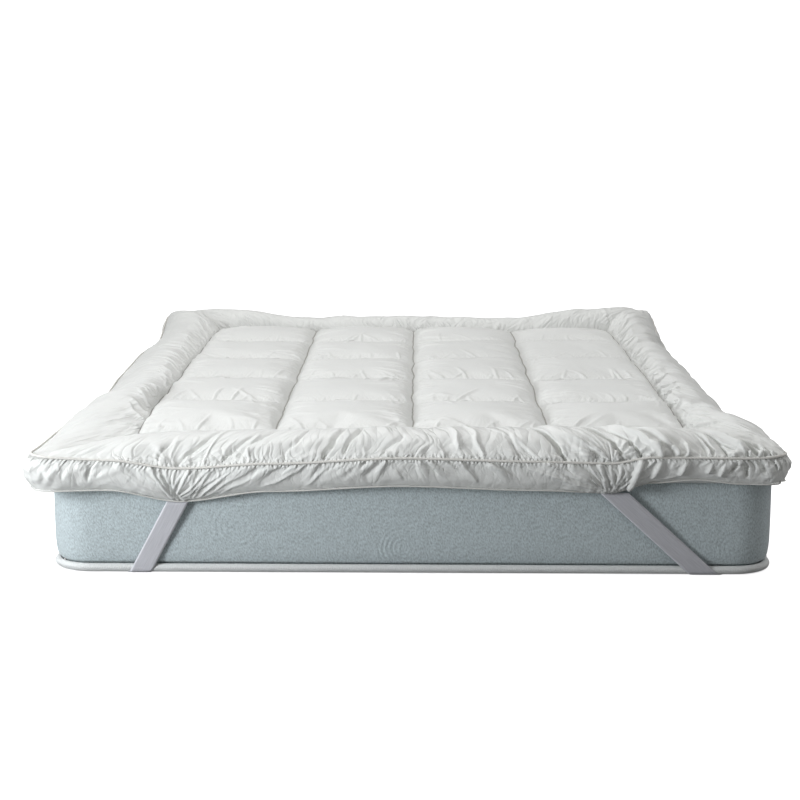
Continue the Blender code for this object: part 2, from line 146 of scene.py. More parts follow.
# The folds that show most on the foot's border, listed one by one: x and place across the border
# (0 quilt, 1 piping) of a fold's upper and of its lower end, height (below 0 is a valley), width.
CREASES = (
    (-0.527, 0.60, -0.515, 0.99, -0.005, 0.010),
    (-0.437, 0.56, -0.480, 1.00, -0.012, 0.013),
    (-0.424, 0.56, -0.421, 0.98, 0.007, 0.010),
    (-0.335, 0.50, -0.390, 0.99, -0.007, 0.012),
    (-0.308, 0.48, -0.360, 0.92, -0.007, 0.013),
    (-0.236, 0.50, -0.262, 0.98, -0.006, 0.010),
    (-0.158, 0.52, -0.178, 0.99, -0.011, 0.013),
    (-0.112, 0.50, -0.143, 0.90, -0.010, 0.013),
    (-0.022, 0.70, -0.068, 0.98, -0.008, 0.010),
    (0.090, 0.52, 0.098, 0.88, 0.008, 0.010),
    (0.128, 0.46, 0.144, 0.98, 0.007, 0.012),
    (0.205, 0.58, 0.219, 0.98, -0.006, 0.010),
    (0.285, 0.48, 0.313, 1.00, -0.016, 0.010),
    (0.412, 0.48, 0.428, 0.94, -0.013, 0.011),
    (0.452, 0.58, 0.462, 0.99, -0.010, 0.010),
    (0.476, 0.54, 0.506, 1.00, 0.013, 0.014),
    (0.515, 0.60, 0.540, 1.00, 0.010, 0.012),
    (0.620, 0.68, 0.590, 0.99, -0.009, 0.011),
    (0.632, 0.62, 0.608, 0.96, -0.010, 0.009),
    (0.640, 0.56, 0.666, 0.86, -0.008, 0.007),
    (0.656, 0.70, 0.634, 0.98, -0.009, 0.007),
    (0.672, 0.50, 0.686, 0.95, 0.008, 0.012),
    (0.692, 0.74, 0.676, 0.98, -0.008, 0.006),
    (0.708, 0.68, 0.694, 0.98, -0.010, 0.007),
    (0.726, 0.64, 0.710, 0.97, -0.010, 0.007),
    (0.740, 0.70, 0.724, 0.98, -0.008, 0.006),
    (0.752, 0.74, 0.738, 0.97, -0.007, 0.006),
)

# The same for the wall below the piping (0 piping, 1 hem).
WALL_CREASES = (
    (0.468, 0.00, 0.436, 1.00, 0.012, 0.012),
    (0.432, 0.10, 0.434, 1.00, 0.006, 0.006),
    (0.412, 0.06, 0.426, 0.96, 0.005, 0.007),
    (0.392, 0.05, 0.416, 0.98, 0.006, 0.007),
    (0.366, 0.05, 0.408, 0.98, 0.006, 0.008),
    (0.298, 0.06, 0.398, 0.96, 0.007, 0.010),
    (0.268, 0.08, 0.378, 0.96, 0.006, 0.010),
    (0.230, 0.12, 0.399, 0.97, 0.007, 0.011),
    (0.102, 0.10, 0.132, 0.80, 0.004, 0.016),
    (0.034, 0.15, 0.053, 0.55, -0.004, 0.008),
    (-0.050, 0.05, -0.020, 0.75, 0.003, 0.014),
    (-0.160, 0.08, -0.215, 0.80, 0.004, 0.013),
    (-0.205, 0.05, -0.300, 0.85, 0.004, 0.010),
    (-0.255, 0.05, -0.390, 0.94, 0.005, 0.009),
    (-0.300, 0.05, -0.420, 0.96, 0.005, 0.007),
    (-0.345, 0.05, -0.435, 0.97, 0.007, 0.010),
    (-0.400, 0.04, -0.446, 0.98, 0.007, 0.008),
    (-0.440, 0.04, -0.450, 0.98, 0.006, 0.007),
    (-0.505, 0.05, -0.462, 0.98, -0.008, 0.010),
    (-0.545, 0.06, -0.472, 0.96, 0.007, 0.010),
    (-0.615, 0.10, -0.490, 0.92, 0.006, 0.012),
    (0.505, 0.05, 0.480, 0.80, 0.007, 0.012),
    (0.560, 0.05, 0.535, 0.75, 0.007, 0.011),
    (0.610, 0.05, 0.590, 0.70, 0.006, 0.011),
    (0.640, 0.05, 0.616, 0.75, 0.008, 0.009),
    (0.654, 0.05, 0.640, 0.60, -0.007, 0.006),
    (0.668, 0.04, 0.672, 0.75, -0.012, 0.008),
    (0.683, 0.04, 0.688, 0.50, -0.006, 0.006),
    (0.698, 0.06, 0.704, 0.62, -0.009, 0.007),
    (0.724, 0.05, 0.730, 0.50, -0.008, 0.007),
    (0.742, 0.05, 0.744, 0.55, -0.006, 0.007),
    (-0.640, 0.08, -0.650, 0.66, -0.008, 0.009),
    (-0.610, 0.20, -0.630, 0.58, -0.006, 0.014),
    (-0.682, 0.06, -0.694, 0.60, -0.004, 0.010),
    (-0.732, 0.25, -0.722, 0.75, -0.005, 0.014),
)

QUILT_X, QUILT_Y, COLUMNS, ROWS = 0.585, 0.835, 4, 5
CELL_STEPS = (44, 28)
# Row seams lie higher than column seams, by a share of the crown and more at the rear right.
SEAM_Z, CROWN, ROW_SEAM_LIFT, ROW_SEAM_SLACK = 0.262, 0.025, 0.48, 0.42
# Of the border on the foot and head edges, and what the long sides add to it: where its crest
# is, and how steeply it leaves the quilt and reaches the piping. The long sides' seam is higher.
CREST_AT, RISE, FALL = 0.42, 0.90, 0.90
SIDE_CREST_AT, SIDE_RISE, SIDE_FALL, SIDE_LIFT = -0.08, -0.60, -0.15, 0.010
SIDE_REACH = 0.18  # how far from the corners the long sides are like the foot
PIPING_CORNER, HEM_CORNER, PIPING_GROOVE = 0.050, 0.055, 0.012
WALL_BULGE, CORNER_REACH = 0.006, 0.12
CORNER_BULGE = {-1: 0.017, 1: 0.004}  # of the wall at the left and the right corners
MITRE_DEPTH, MITRE_REACH = 0.007, 0.035
UNDULATION, UNDULATION_PITCH = 0.008, 0.085
MATTRESS_CORNER, MATTRESS_EDGE = 0.085, 0.030
EDGE_CLEARANCE, SKIN_GAP, LIP_OUT, LIP_RISE, LIP_TOP = 0.0032, 0.0003, 0.0050, 0.006, 0.196
TAPE_RADIUS, TAPE_LIFT, TAPE_INSET = 0.0085, 0.0020, 0.0070
WALK_X, WALK_Y = 1.36, 1.90  # lengths of the border's middle line along the foot and the side
WALK = 2 * (WALK_X + WALK_Y)
BORDER_WIDTH, WALL_WIDTH, UNDERSIDE_WIDTH = 0.25, 0.075, 0.1  # on the UV maps
CORD_GAP, STRAP_GAP, STRAP_BELOW_HEM = 0.0003, 0.0005, 0.003
CORD_UNEVEN, CORD_SEAM_STEP = 0.06, 0.004
STRIPS = (("left", WALK_Y), ("foot", WALK_X), ("right", WALK_Y), ("head", WALK_X))
CORNERS = (0.0, WALK_Y, WALK_Y + WALK_X, 2 * WALK_Y + WALK_X, WALK)
BORDER_STEPS = {"left": (270, 32), "foot": (420, 40), "right": (270, 32), "head": (220, 32)}
WALL_STEPS, UNDERSIDE_STEPS, CORD_STEPS = (1140, 18), (420, 12), (1300, 10)
MATTRESS_STEPS, TAPE_SIDES, STRAP_STEPS = 640, 24, 8
# How strongly the cloth is gathered, from the foot's left corner to its right one.
BORDER_GATHERS = (0.65, 0.70, 0.85, 1.0, 1.35, 1.3)
CORNER_GATHERS = (0.2, 0.2, 1.0, 1.0, 1.0, 1.8)
WALL_GATHERS = (0.55, 0.85, 1.0, 1.3, 1.2, 1.0)


def rounded(x, y, half_x, half_y, radius):
    """A point on the sides of a rectangle, moved onto the arc if it is near a corner."""
    over_x, over_y = abs(x) - (half_x - radius), abs(y) - (half_y - radius)
    if min(over_x, over_y) <= 0:
        return x, y
    scale = radius / math.hypot(over_x, over_y)
    return (
        math.copysign(half_x - radius + over_x * scale, x),
        math.copysign(half_y - radius + over_y * scale, y),
    )


ROWS_OF = {edge: [Station(*row) for row in rows] for edge, rows in STATIONS.items()}


def eased(share):
    """A share that starts and ends gently."""
    return share * share * (3 - 2 * share)


def between(ends, share):
    """The value at a share of the way from the first of two ends to the second."""
    return ends[0] + (ends[1] - ends[0]) * share


def along_edge(edge, at, column):
    """The value of a column of STATIONS at a place along an edge, eased between its rows."""
    rows = ROWS_OF[edge]
    at = min(max(at, rows[0].at), rows[-1].at)
    low, high = next(pair for pair in zip(rows, rows[1:]) if at <= pair[1].at)
    share = eased((at - low.at) / (high.at - low.at))
    return between((getattr(low, column), getattr(high, column)), share)


def outline(edge, share, column, radius):
    """A point of the piping or of the hem, seen from above, and its place along the edge."""
    direction, side = DIRECTION[edge], edge in SIDES
    first, last = ENDS if side else SIDES
    half, half_away = (HALF_Y, HALF_X) if side else (HALF_X, HALF_Y)
    low = -half - along_edge(first, direction * 9, column)
    high = half + along_edge(last, direction * 9, column)
    at = low + (high - low) * (share + 1) / 2
    away = half_away + along_edge(edge, at, column)
    along, across = rounded(at, direction * away, high if at > 0 else -low, away, radius)
    return Vector((across, along) if side else (along, across)), at


def mattress_outline(edge, share, out, corner=MATTRESS_CORNER):
    """A point on the mattress's side, moved out by a distance, seen from above."""
    half_x, half_y = HALF_X + out, HALF_Y + out
    if edge in ENDS:
        x, y = share * half_x, DIRECTION[edge] * half_y
    else:
        x, y = DIRECTION[edge] * half_x, share * half_y
    return rounded(x, y, half_x, half_y, corner + out)


def near_corner(edge, share, reach):
    """1 at a corner of the topper, falling off with the distance along the edge."""
    distance = (1 - abs(share)) * (QUILT_X if edge in ENDS else QUILT_Y)
    return math.exp(-((distance / reach) ** 2))


def undulation(x, y, layer):
    """The border isn't filled evenly: a smooth rise and fall along it."""
    return UNDULATION * noise.noise(Vector((x, y, layer)) / UNDULATION_PITCH)


def seam_wobble(x, y):
    """The long seams aren't straight: they give a little at each cell."""
    inside = 1 - min(1.0, abs(y) / QUILT_Y) ** 8
    broad = noise.noise(Vector((x * 9, y / 0.11, 2.0)))
    fine = noise.noise(Vector((x * 9, y / 0.03, 5.0)))
    return inside * (0.0060 * broad + 0.0012 * fine)


def seam_z(edge, share):
    """The height of the seam between the quilted middle and the border."""
    return SEAM_Z + (SIDE_LIFT * (1 - share**8) if edge in SIDES else 0.0)


def place_on_walk(walked):
    """(edge, share, point of the quilt's seam) after a distance round the border.

    It starts at the head's left corner, where no seam of the mesh shows, and goes by the foot.
    """
    walked %= WALK
    for edge, length in STRIPS:
        if walked <= length + 1e-9:
            break
        walked -= length
    share = 2 * walked / length - 1
    if edge in ("left", "head"):
        share = -share
    if edge in ENDS:
        return edge, share, Vector((share * QUILT_X, DIRECTION[edge] * QUILT_Y, 0))
    x, y = DIRECTION[edge] * QUILT_X, share * QUILT_Y
    return edge, share, Vector((x + seam_wobble(x, y), y, 0))


class EdgeLie:
    """All that the topper's edge needs at one place along it."""

    def __init__(self, walked):
        self.walked = walked
        self.edge, self.share, self.inner = place_on_walk(walked)
        edge, share = self.edge, self.share
        self.pipe, self.at = outline(edge, share, "out", PIPING_CORNER)
        self.hem, self.hem_at = outline(edge, share, "hem_out", HEM_CORNER)
        self.pipe_z = along_edge(edge, self.at, "pipe_z")
        self.hem_z = along_edge(edge, self.hem_at, "hem_z")
        self.crest_z = along_edge(edge, self.at, "crest_z")
        self.crest_z -= MITRE_DEPTH * near_corner(edge, share, MITRE_REACH)
        self.full = near_corner(edge, share, CORNER_REACH)
        self.bulge = WALL_BULGE + CORNER_BULGE[math.copysign(1, self.inner.x)] * self.full
        self.outward = (self.pipe - self.inner.to_2d()).normalized()
        side = 1 - near_corner(edge, share, SIDE_REACH) if edge in SIDES else 0.0
        self.crest_at = CREST_AT + SIDE_CREST_AT * side
        self.rise, self.fall = RISE + SIDE_RISE * side, FALL + SIDE_FALL * side

    def border(self, part):
        """part is 0 at the quilt's seam, 1 at the crest and 2 at the piping."""
        if part <= 1:
            across = self.crest_at * part
            low = seam_z(self.edge, self.share)
            z = low + (self.crest_z - low) * math.sin(part * math.pi / 2) ** self.rise
        else:
            turn = (part - 1) * math.pi / 2
            across = self.crest_at + (1 - PIPING_GROOVE - self.crest_at) * math.sin(turn)
            z = self.pipe_z + (self.crest_z - self.pipe_z) * max(0.0, math.cos(turn)) ** self.fall
        place = self.inner.to_2d().lerp(self.pipe, across)
        z += undulation(*place, 0.0) * math.sin(part * math.pi / 2) ** 2
        return Vector((*place, z))

    def wall(self, down):
        """down is 0 at the piping and 1 at the hem."""
        if down <= 0:
            return self.border(2.0)
        place = self.pipe.lerp(self.hem, down)
        bulge = self.bulge * math.sin(math.pi * down ** (1 - 0.25 * self.full))
        bulge += undulation(*place, 1.0) * 0.5 * math.sin(math.pi * down)
        bulge -= PIPING_GROOVE * BORDER_WIDTH * max(0.0, 1 - down / 0.2)
        z = self.pipe_z + (self.hem_z - self.pipe_z) * down
        return Vector((*(place + self.outward * bulge), z))

    def underside(self, inward):
        """inward is 0 at the hem, 0.25 at the mattress's side and 1 on its flat top."""
        reach = MATTRESS_EDGE + EDGE_CLEARANCE
        low = min(LIP_TOP, self.hem_z + LIP_RISE)
        if inward <= 0:
            return self.wall(1.0)
        if inward <= 0.25:
            share = inward / 0.25
            side = Vector(mattress_outline(self.edge, self.share, LIP_OUT))
            place = self.hem.lerp(side, share)
            return Vector((*place, self.hem_z + (low - self.hem_z) * share))
        if inward <= 0.8:
            angle = math.radians(15 + 70 * (inward - 0.25) / 0.55)
            out = reach * math.cos(angle) - MATTRESS_EDGE
            z = MATTRESS_TOP - MATTRESS_EDGE + reach * math.sin(angle)
        else:
            out = -(1.0 + 4 * (inward - 0.8)) * MATTRESS_EDGE
            z = MATTRESS_TOP + SKIN_GAP
        return Vector((*mattress_outline(self.edge, self.share, out), z))


LIES = {}


def lie(walked):
    """The edge at a place, worked out once."""
    key = round(walked, 6)
    if key not in LIES:
        LIES[key] = EdgeLie(walked)
    return LIES[key]


# ------------------------------------------------------------ folds
# A fold is a tent or a trough that starts at a seam and gets wider and lower as it runs out.
# Places are (along the seam, out from it) in metres, and heading 0 is straight out. A round fold
# is full, so two of them meet in a sharp valley.

Fold = namedtuple(
    "Fold", "along out heading length narrow wide height bow skew round", defaults=(0,)
)


def bell(away, reach):
    """1 where away is 0, falling off smoothly over the reach."""
    return np.exp(-((away / reach) ** 2))


def soft_noise(seed, size, along, out, count=16):
    """Smooth noise of about -2 to 2, from waves of many headings; size is that of its lumps."""
    rng = np.random.default_rng(seed)
    headings = rng.uniform(0, math.tau, count)
    pitches = size * rng.uniform(1.3, 3.2, count)
    starts = rng.uniform(0, math.tau, count)
    total = np.zeros(len(along))
    for heading, pitch, start in zip(headings, pitches, starts):
        far = (along * math.cos(heading) + out * math.sin(heading)) / pitch
        total += np.sin(math.tau * far + start)
    return total / math.sqrt(count / 2)


def crumple(seed, size, along, out):
    """Flat facets with sharp edges, as thin cloth shows when it has been squeezed; -1 to 1."""
    rng = np.random.default_rng(seed)
    total = np.zeros(len(along))
    for turn in range(5):
        heading = (turn + rng.uniform(-0.35, 0.35)) * math.pi / 5
        pitch = size * rng.uniform(0.8, 1.5)
        far = (along * math.cos(heading) + out * math.sin(heading)) / pitch
        far += 0.30 * soft_noise(seed * 7 + turn, size * 1.6, along, out, 10)
        patches = soft_noise(seed * 13 + turn, size * 1.4, along, out, 10)
        total += (np.abs(2 * (far % 1) - 1) - 0.5) * np.clip(0.5 + 0.8 * patches, 0, 1.4)
    return total / 2.2


def sow(
    seed, start, end, pitch, length, wide, height, lean, out=0.0, turned=0.0, aim=None, full=0,
    but=(),
):
    """Unevenly spaced folds along a seam; length, wide and height are (least, most), and no fold
    starts near one of the places in but."""
    rng = np.random.default_rng(seed)
    folds, along = [], start + rng.uniform(0, pitch)
    while along < end:
        size = rng.uniform(0, 1) ** 1.5
        drift = aim(along) if aim else 0.6 * lean * math.sin(along * 9 + seed)
        most = between(wide, size)
        folds.append(
            Fold(
                along, out, turned + drift + rng.normal(0, lean), between(length, size),
                0.3 * most, most, between(height, 0.5 * size + 0.5 * rng.uniform(0, 1)),
                rng.normal(0, 0.09), rng.uniform(-0.75, 0.75), full,
            )
        )
        along += pitch * rng.uniform(0.4, 1.6)
    return [fold for fold in folds if all(abs(fold.along - place) > 0.075 for place in but)]


def belt(seed, *sizes, **more):
    """Folds sown all the way round the topper."""
    return sow(seed, 0, WALK, *sizes, **more)


def rays(seed, along, out, spread, count, length, height):
    """A fan of folds that all start where a strap pulls, and run up from there."""
    rng = np.random.default_rng(seed)
    folds, gap = [], 2 * spread / (count - 1)
    for step in range(count):
        heading = -spread + gap * (step + rng.uniform(-0.3, 0.3))
        reach = rng.uniform(*length)
        folds.append(
            Fold(
                along + 0.004 * rng.normal(), out, math.pi + heading, reach, 0.0014,
                gap * reach * rng.uniform(0.40, 0.56), rng.uniform(*height),
                rng.normal(0, 0.03), rng.uniform(-0.5, 0.5),
            )
        )
    return folds


def placed_folds(rows, strip):
    """The listed creases, as folds on a strip of this width."""
    folds = []
    steps = [lie(step) for step in np.linspace(WALK_Y, WALK_Y + WALK_X, 700)]
    for top_x, top_v, low_x, low_v, height, wide in rows:
        (along, out), (top_along, top_out) = (
            (min(steps, key=lambda edge: abs(edge.at - x)).walked, v * strip)
            for x, v in ((low_x, low_v), (top_x, top_v))
        )
        length = math.hypot(top_along - along, top_out - out)
        heading = math.atan2(top_along - along, top_out - out)
        folds.append(
            Fold(along, out, heading, length * 1.15, 0.4 * wide, wide, height, 0.05, 0.3)
        )
    return folds


def fold_heights(folds, along, out):
    """The highest of the folds at each place, so that two of them meet in a sharp valley."""
    order = np.argsort(along, kind="stable")
    sorted_along, sorted_out = along[order], out[order]
    result = np.zeros(len(along))
    for fold in folds:
        reach = fold.length + 2 * fold.wide
        first, last = np.searchsorted(sorted_along, (fold.along - reach, fold.along + reach))
        a, o = sorted_along[first:last] - fold.along, sorted_out[first:last] - fold.out
        turn_x, turn_y = math.sin(fold.heading), math.cos(fold.heading)
        run = (a * turn_x + o * turn_y) / fold.length
        held = np.clip(run, 0, 1)
        off = a * turn_y - o * turn_x - fold.bow * fold.length * held * held
        width = (fold.narrow + (fold.wide - fold.narrow) * held) * (1 + fold.skew * np.sign(off))
        near = np.minimum(np.abs(off) / width, 1.0)
        tent = 1 - near**2 if fold.round else (1 - near) ** 1.35
        rise = np.clip(held * fold.length / 0.009, 0, 1) * (1 - held**2.2)
        height = np.where((run > 0) & (run < 1), tent * rise * abs(fold.height), 0.0)
        np.maximum(result[first:last], height, out=result[first:last])
    back = np.empty_like(result)
    back[order] = result
    return back


def relief(folds, along, out, seed, warp=0.002):
    """Ridges less valleys, on places that wander a little."""
    moved = along + warp * soft_noise(seed, 0.035, along, out)
    shifted = out + warp * soft_noise(seed + 1, 0.035, along, out)
    ridges = [fold for fold in folds if fold.height > 0]
    valleys = [fold for fold in folds if fold.height < 0]
    total = fold_heights(ridges, moved, shifted)
    return total - fold_heights(valleys, moved, shifted) if valleys else total


def from_pulls(pulls, apex, reach):
    """How folds lean because of the straps: away from the nearest pull."""

    def aim(along):
        offset = min((along - pull for pull in pulls), key=abs)
        near = math.exp(-((offset / reach) ** 2))
        return -near * math.atan(offset / apex) + 0.25 * math.sin(along * 7)

    return aim


def pull_places():
    """The distance walked to each strap's ends."""
    ends = [(row.end, row.end_x) for row in STRAPS] + [(row.side, row.side_y) for row in STRAPS]
    steps = [lie(step) for step in np.linspace(0, WALK, 1600, endpoint=False)]
    return [
        min((step for step in steps if step.edge == edge), key=lambda s: abs(s.hem_at - at)).walked
        for edge, at in ends
    ]


# ------------------------------------------------------------ meshes


def object_from(name, bm, material):
    """A smooth-shaded object of a finished mesh, with its material."""
    mesh = bpy.data.meshes.new(name)
    bm.to_mesh(mesh)
    bm.free()
    mesh.shade_smooth()
    mesh.materials.append(material)
    made = bpy.data.objects.new(name, mesh)
    bpy.context.scene.collection.objects.link(made)
    return made


def piece_from(name, bm, material, node):
    """A finished piece under the root, with the CAD part that it stands for hidden."""
    made = object_from(name, bm, material)
    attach(made, "root")
    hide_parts(node)
    return made


COLUMN_ENDS = (0.0, 0.23, 0.59, 0.82, 1.0)  # the foot's edge has the finest columns


def finer_foot(u):
    """A share of the walk round the topper, from a share of the wall's columns."""
    return float(np.interp(u, COLUMN_ENDS, [corner / WALK for corner in CORNERS]))


def grid(around, across, place, size, closed=True, flip=False, spread=lambda u: u):
    """A grid laid by a function of its two shares, with a UV map in metres; a closed one is
    welded where it meets itself. Each point keeps its shares in a layer."""
    bm = bmesh.new()
    uv = bm.loops.layers.uv.new("UVMap")
    shares = bm.verts.layers.float_vector.new("shares")
    bmesh.ops.create_grid(bm, x_segments=around, y_segments=across, size=0.5, calc_uvs=True)
    for vert in bm.verts:
        u = spread(round((vert.co.x + 0.5) * around) / around)
        v = round((vert.co.y + 0.5) * across) / across
        vert[shares] = (u, v, 0)
        vert.co = place(u, v)
    for face in bm.faces:
        for loop in face.loops:
            loop[uv].uv = (spread(loop[uv].uv[0]) * size[0], loop[uv].uv[1] * size[1])
    if closed:
        ends = [vert for vert in bm.verts if vert[shares][0] in (0.0, 1.0)]
        bmesh.ops.remove_doubles(bm, verts=ends, dist=1e-5)
    if flip:
        bmesh.ops.reverse_faces(bm, faces=bm.faces[:])
    return bm


def tube(around, sides, place, size):
    """A closed grid that is welded along its length too."""
    bm = grid(around, sides, place, size)
    shares = bm.verts.layers.float_vector["shares"]
    ends = [vert for vert in bm.verts if vert[shares][1] in (0.0, 1.0)]
    bmesh.ops.remove_doubles(bm, verts=ends, dist=1e-6)
    bmesh.ops.recalc_face_normals(bm, faces=bm.faces[:])
    return bm


def close_rim(bm, z):
    """Closes a level open edge at this height with one face."""
    rim = [
        edge for edge in bm.edges
        if edge.is_boundary and all(abs(vert.co.z - z) < 1e-6 for vert in edge.verts)
    ]
    bmesh.ops.contextual_create(bm, geom=rim)


def level_uvs(bm, levels):
    """Gives the rows of a grid these lengths on the UV map, in place of their shares."""
    uv = bm.loops.layers.uv.active
    for face in bm.faces:
        for loop in face.loops:
            loop[uv].uv[1] = levels[round(loop[uv].uv[1] * (len(levels) - 1))]


def triples(data, name):
    """The vectors of this name in a mesh's data, one in each row."""
    values = np.empty(len(data) * 3, np.float32)
    data.foreach_get(name, values)
    return values.reshape(-1, 3).astype(float)


def points_and_normals(mesh):
    return triples(mesh.vertices, "co"), triples(mesh.vertices, "normal")


def shares_of(mesh):
    """The two shares of each point, as two rows."""
    return triples(mesh.attributes["shares"].data, "vector")[:, :2].T


def set_points(mesh, points):
    mesh.vertices.foreach_set("co", points.astype(np.float32).ravel())
    mesh.update()


CLOTH = {
    "quality": 5, "mass": 0.3, "tension_stiffness": 40, "compression_stiffness": 40,
    "shear_stiffness": 12, "bending_model": "LINEAR", "bending_stiffness": 0.5,
    "tension_damping": 5, "compression_damping": 5, "shear_damping": 5, "use_pressure": True,
}
CUT_SHARE, LAID_SHARE = 1.25, 0.75  # of the folds' height, in the cut cloth and as it is laid


def inflate(piece, held, heights, frames, pressure, most):
    """Cloth simulation: the cover is cut with the folds' extra length, held along its seams and
    blown up by its filling. heights are the folds over the smooth shape, and the result moves no
    point further than most from that shape."""
    mesh = piece.data
    smooth, normals = points_and_normals(mesh)
    group = piece.vertex_groups.new(name="held")
    group.add(np.flatnonzero(held).tolist(), 1.0, "REPLACE")
    set_points(mesh, smooth + normals * (heights * LAID_SHARE)[:, None])
    piece.shape_key_add(name="laid")
    cut = piece.shape_key_add(name="cut")
    cut.data.foreach_set("co", (smooth + normals * (heights * CUT_SHARE)[:, None]).ravel())
    cloth = piece.modifiers.new("filled cover", "CLOTH")
    for name, value in CLOTH.items():
        setattr(cloth.settings, name, value)
    cloth.settings.vertex_group_mass = group.name
    cloth.settings.rest_shape_key = cut
    cloth.settings.uniform_pressure_force = pressure
    cloth.settings.effector_weights.gravity = 0
    cloth.collision_settings.use_collision = False
    cloth.point_cache.frame_start, cloth.point_cache.frame_end = 1, frames
    scene = bpy.context.scene
    scene.frame_start, scene.frame_end = 1, frames
    for step in range(1, frames + 1):
        scene.frame_set(step)
    shown = piece.evaluated_get(bpy.context.evaluated_depsgraph_get())
    moved = triples(shown.data.vertices, "co") - smooth
    scene.frame_set(1)
    piece.modifiers.clear()
    piece.shape_key_clear()
    piece.vertex_groups.clear()
    far = np.linalg.norm(moved, axis=1)
    moved *= np.minimum(1.0, most / np.maximum(far, 1e-9))[:, None]
    set_points(mesh, smooth + moved)


def refine(piece, heights):
    """One subdivision, kept in the mesh, then the fine folds along its normals."""
    modifier = piece.modifiers.new("rounder", "SUBSURF")
    modifier.levels = modifier.render_levels = 1
    graph = bpy.context.evaluated_depsgraph_get()
    mesh = bpy.data.meshes.new_from_object(
        piece.evaluated_get(graph), preserve_all_data_layers=True, depsgraph=graph
    )
    piece.modifiers.clear()
    old = piece.data
    piece.data = mesh
    bpy.data.meshes.remove(old)
    points, normals = points_and_normals(mesh)
    set_points(mesh, points + normals * heights(*shares_of(mesh))[:, None])
    mesh.shade_smooth()


# ------------------------------------------------------------ materials


class Wire:
    """A value in a node tree. Sums with it add Math nodes to the tree."""

    def __init__(self, tree, socket):
        self.tree, self.socket = tree, socket

    def do(self, operation, *values):
        return new_node(self.tree, "Math", 0, (self, *values), operation=operation)

    def __add__(self, other):
        return self.do("ADD", other)

    def __sub__(self, other):
        return self.do("SUBTRACT", other)

    def __mul__(self, other):
        return self.do("MULTIPLY", other)

    def __truediv__(self, other):
        return self.do("DIVIDE", other)

    def __rsub__(self, other):
        return new_node(self.tree, "Math", 0, (other, self), operation="SUBTRACT")

    def __rtruediv__(self, other):
        return new_node(self.tree, "Math", 0, (other, self), operation="DIVIDE")


def feed(value, socket):
    """Links a wire to a socket, or sets a plain value on it."""
    if isinstance(value, Wire):
        value.tree.links.new(value.socket, socket)
    else:
        socket.default_value = value


def new_node(tree, kind, output, values=(), **settings):
    """Adds a node and returns its output. values are its first inputs, or inputs by name."""
    node = tree.nodes.new("ShaderNode" + kind)
    for name, value in settings.items():
        setattr(node, name, value)
    for name, value in values.items() if isinstance(values, dict) else enumerate(values):
        feed(value, node.inputs[name])
    return Wire(tree, node.outputs[output])


def split(vector):
    """The first two parts of a vector."""
    x = new_node(vector.tree, "SeparateXYZ", "X", (vector,))
    return x, Wire(vector.tree, x.socket.node.outputs["Y"])


def mapped(vector, scale, turn=0.0):
    """A place turned, and then measured in grains of 1/scale metres."""
    values = {"Vector": vector, "Scale": [1 / s for s in scale], "Rotation": (0, 0, turn)}
    return new_node(vector.tree, "Mapping", 0, values, vector_type="TEXTURE")


def noisy(vector, scale, detail, roughness=0.5, output="Fac"):
    values = {"Vector": vector, "Scale": scale, "Detail": detail, "Roughness": roughness}
    return new_node(vector.tree, "TexNoise", output, values)


def grains(place, scale, detail, roughness=0.5, turn=0.0):
    """Noise with grains of 1/scale metres."""
    return noisy(mapped(place, scale, turn), 1.0, detail, roughness)


def ramp(factor, low, high):
    """Takes a factor from low to high, as two (position, colour) stops."""
    shades = new_node(factor.tree, "ValToRGB", "Color", (factor,))
    for element, (position, color) in zip(shades.socket.node.color_ramp.elements, (low, high)):
        element.position = position
        element.color = (*color, 1.0)
    return shades


def mix(factor, first, second):
    """From the first colour to the second."""
    values = {"Factor": factor, "A": first, "B": second}
    return new_node(factor.tree, "Mix", "Result", values, data_type="RGBA")


def shade(color, factor):
    return tuple(min(1, factor * part) for part in color)


def weave(given):
    """A plain weave: threads over and under each other."""
    place = given["Place"]
    values = {0: place, "Scale": given["Threads per metre"]}
    x, y = split(new_node(place.tree, "VectorMath", 0, values, operation="SCALE"))
    return (x * math.pi).do("SINE") * (y * math.pi).do("SINE")


def creases(given):
    """Fine creases in thin cotton that run out from a seam, along the place's Y: flat facets with
    sharp edges, tightest near the seam."""
    place, far_share = given["Place"], given["Far share"]
    wander = noisy(place, 14.0, 1.0, output="Color")
    values = (wander, (0.030, 0.020, 0.0), place)
    moved = new_node(place.tree, "VectorMath", 0, values, operation="MULTIPLY_ADD")

    def facets(scale, turn):
        values = {"Vector": mapped(moved, scale, turn), "Scale": 1.0}
        cells = new_node(place.tree, "TexVoronoi", "Distance", values, feature="DISTANCE_TO_EDGE")
        return cells.do("POWER", 0.7)

    far = given["From seam"] / given["Reach"]
    near = 1.0 / (far * far + 1.0)
    patches = (noisy(place, 16.0, 0.0) - 0.30).do("MAXIMUM", 0.0) * 3.0
    others = (1.2 - patches).do("MAXIMUM", 0.0)
    total = facets((48, 11, 1), 0.34) * patches + facets((62, 13, 1), -0.30) * others
    total = total + facets((140, 38, 1), 0.08) * 0.5 * near
    return total * (far_share + near * (1.0 - far_share))


def puckers(given):
    """Tight gathers square to a seam, from a place whose X runs along it."""
    x, y = split(given["Place"])
    jitter = noisy(given["Place"], 38.0, 1.0) * 9.0
    wave = (x / given["Pitch"] * math.tau + jitter).do("SINE")
    away = (y - given["Seam"]).do("ABSOLUTE") / given["Reach"]
    return wave * (1.0 - away).do("MAXIMUM", 0.0)


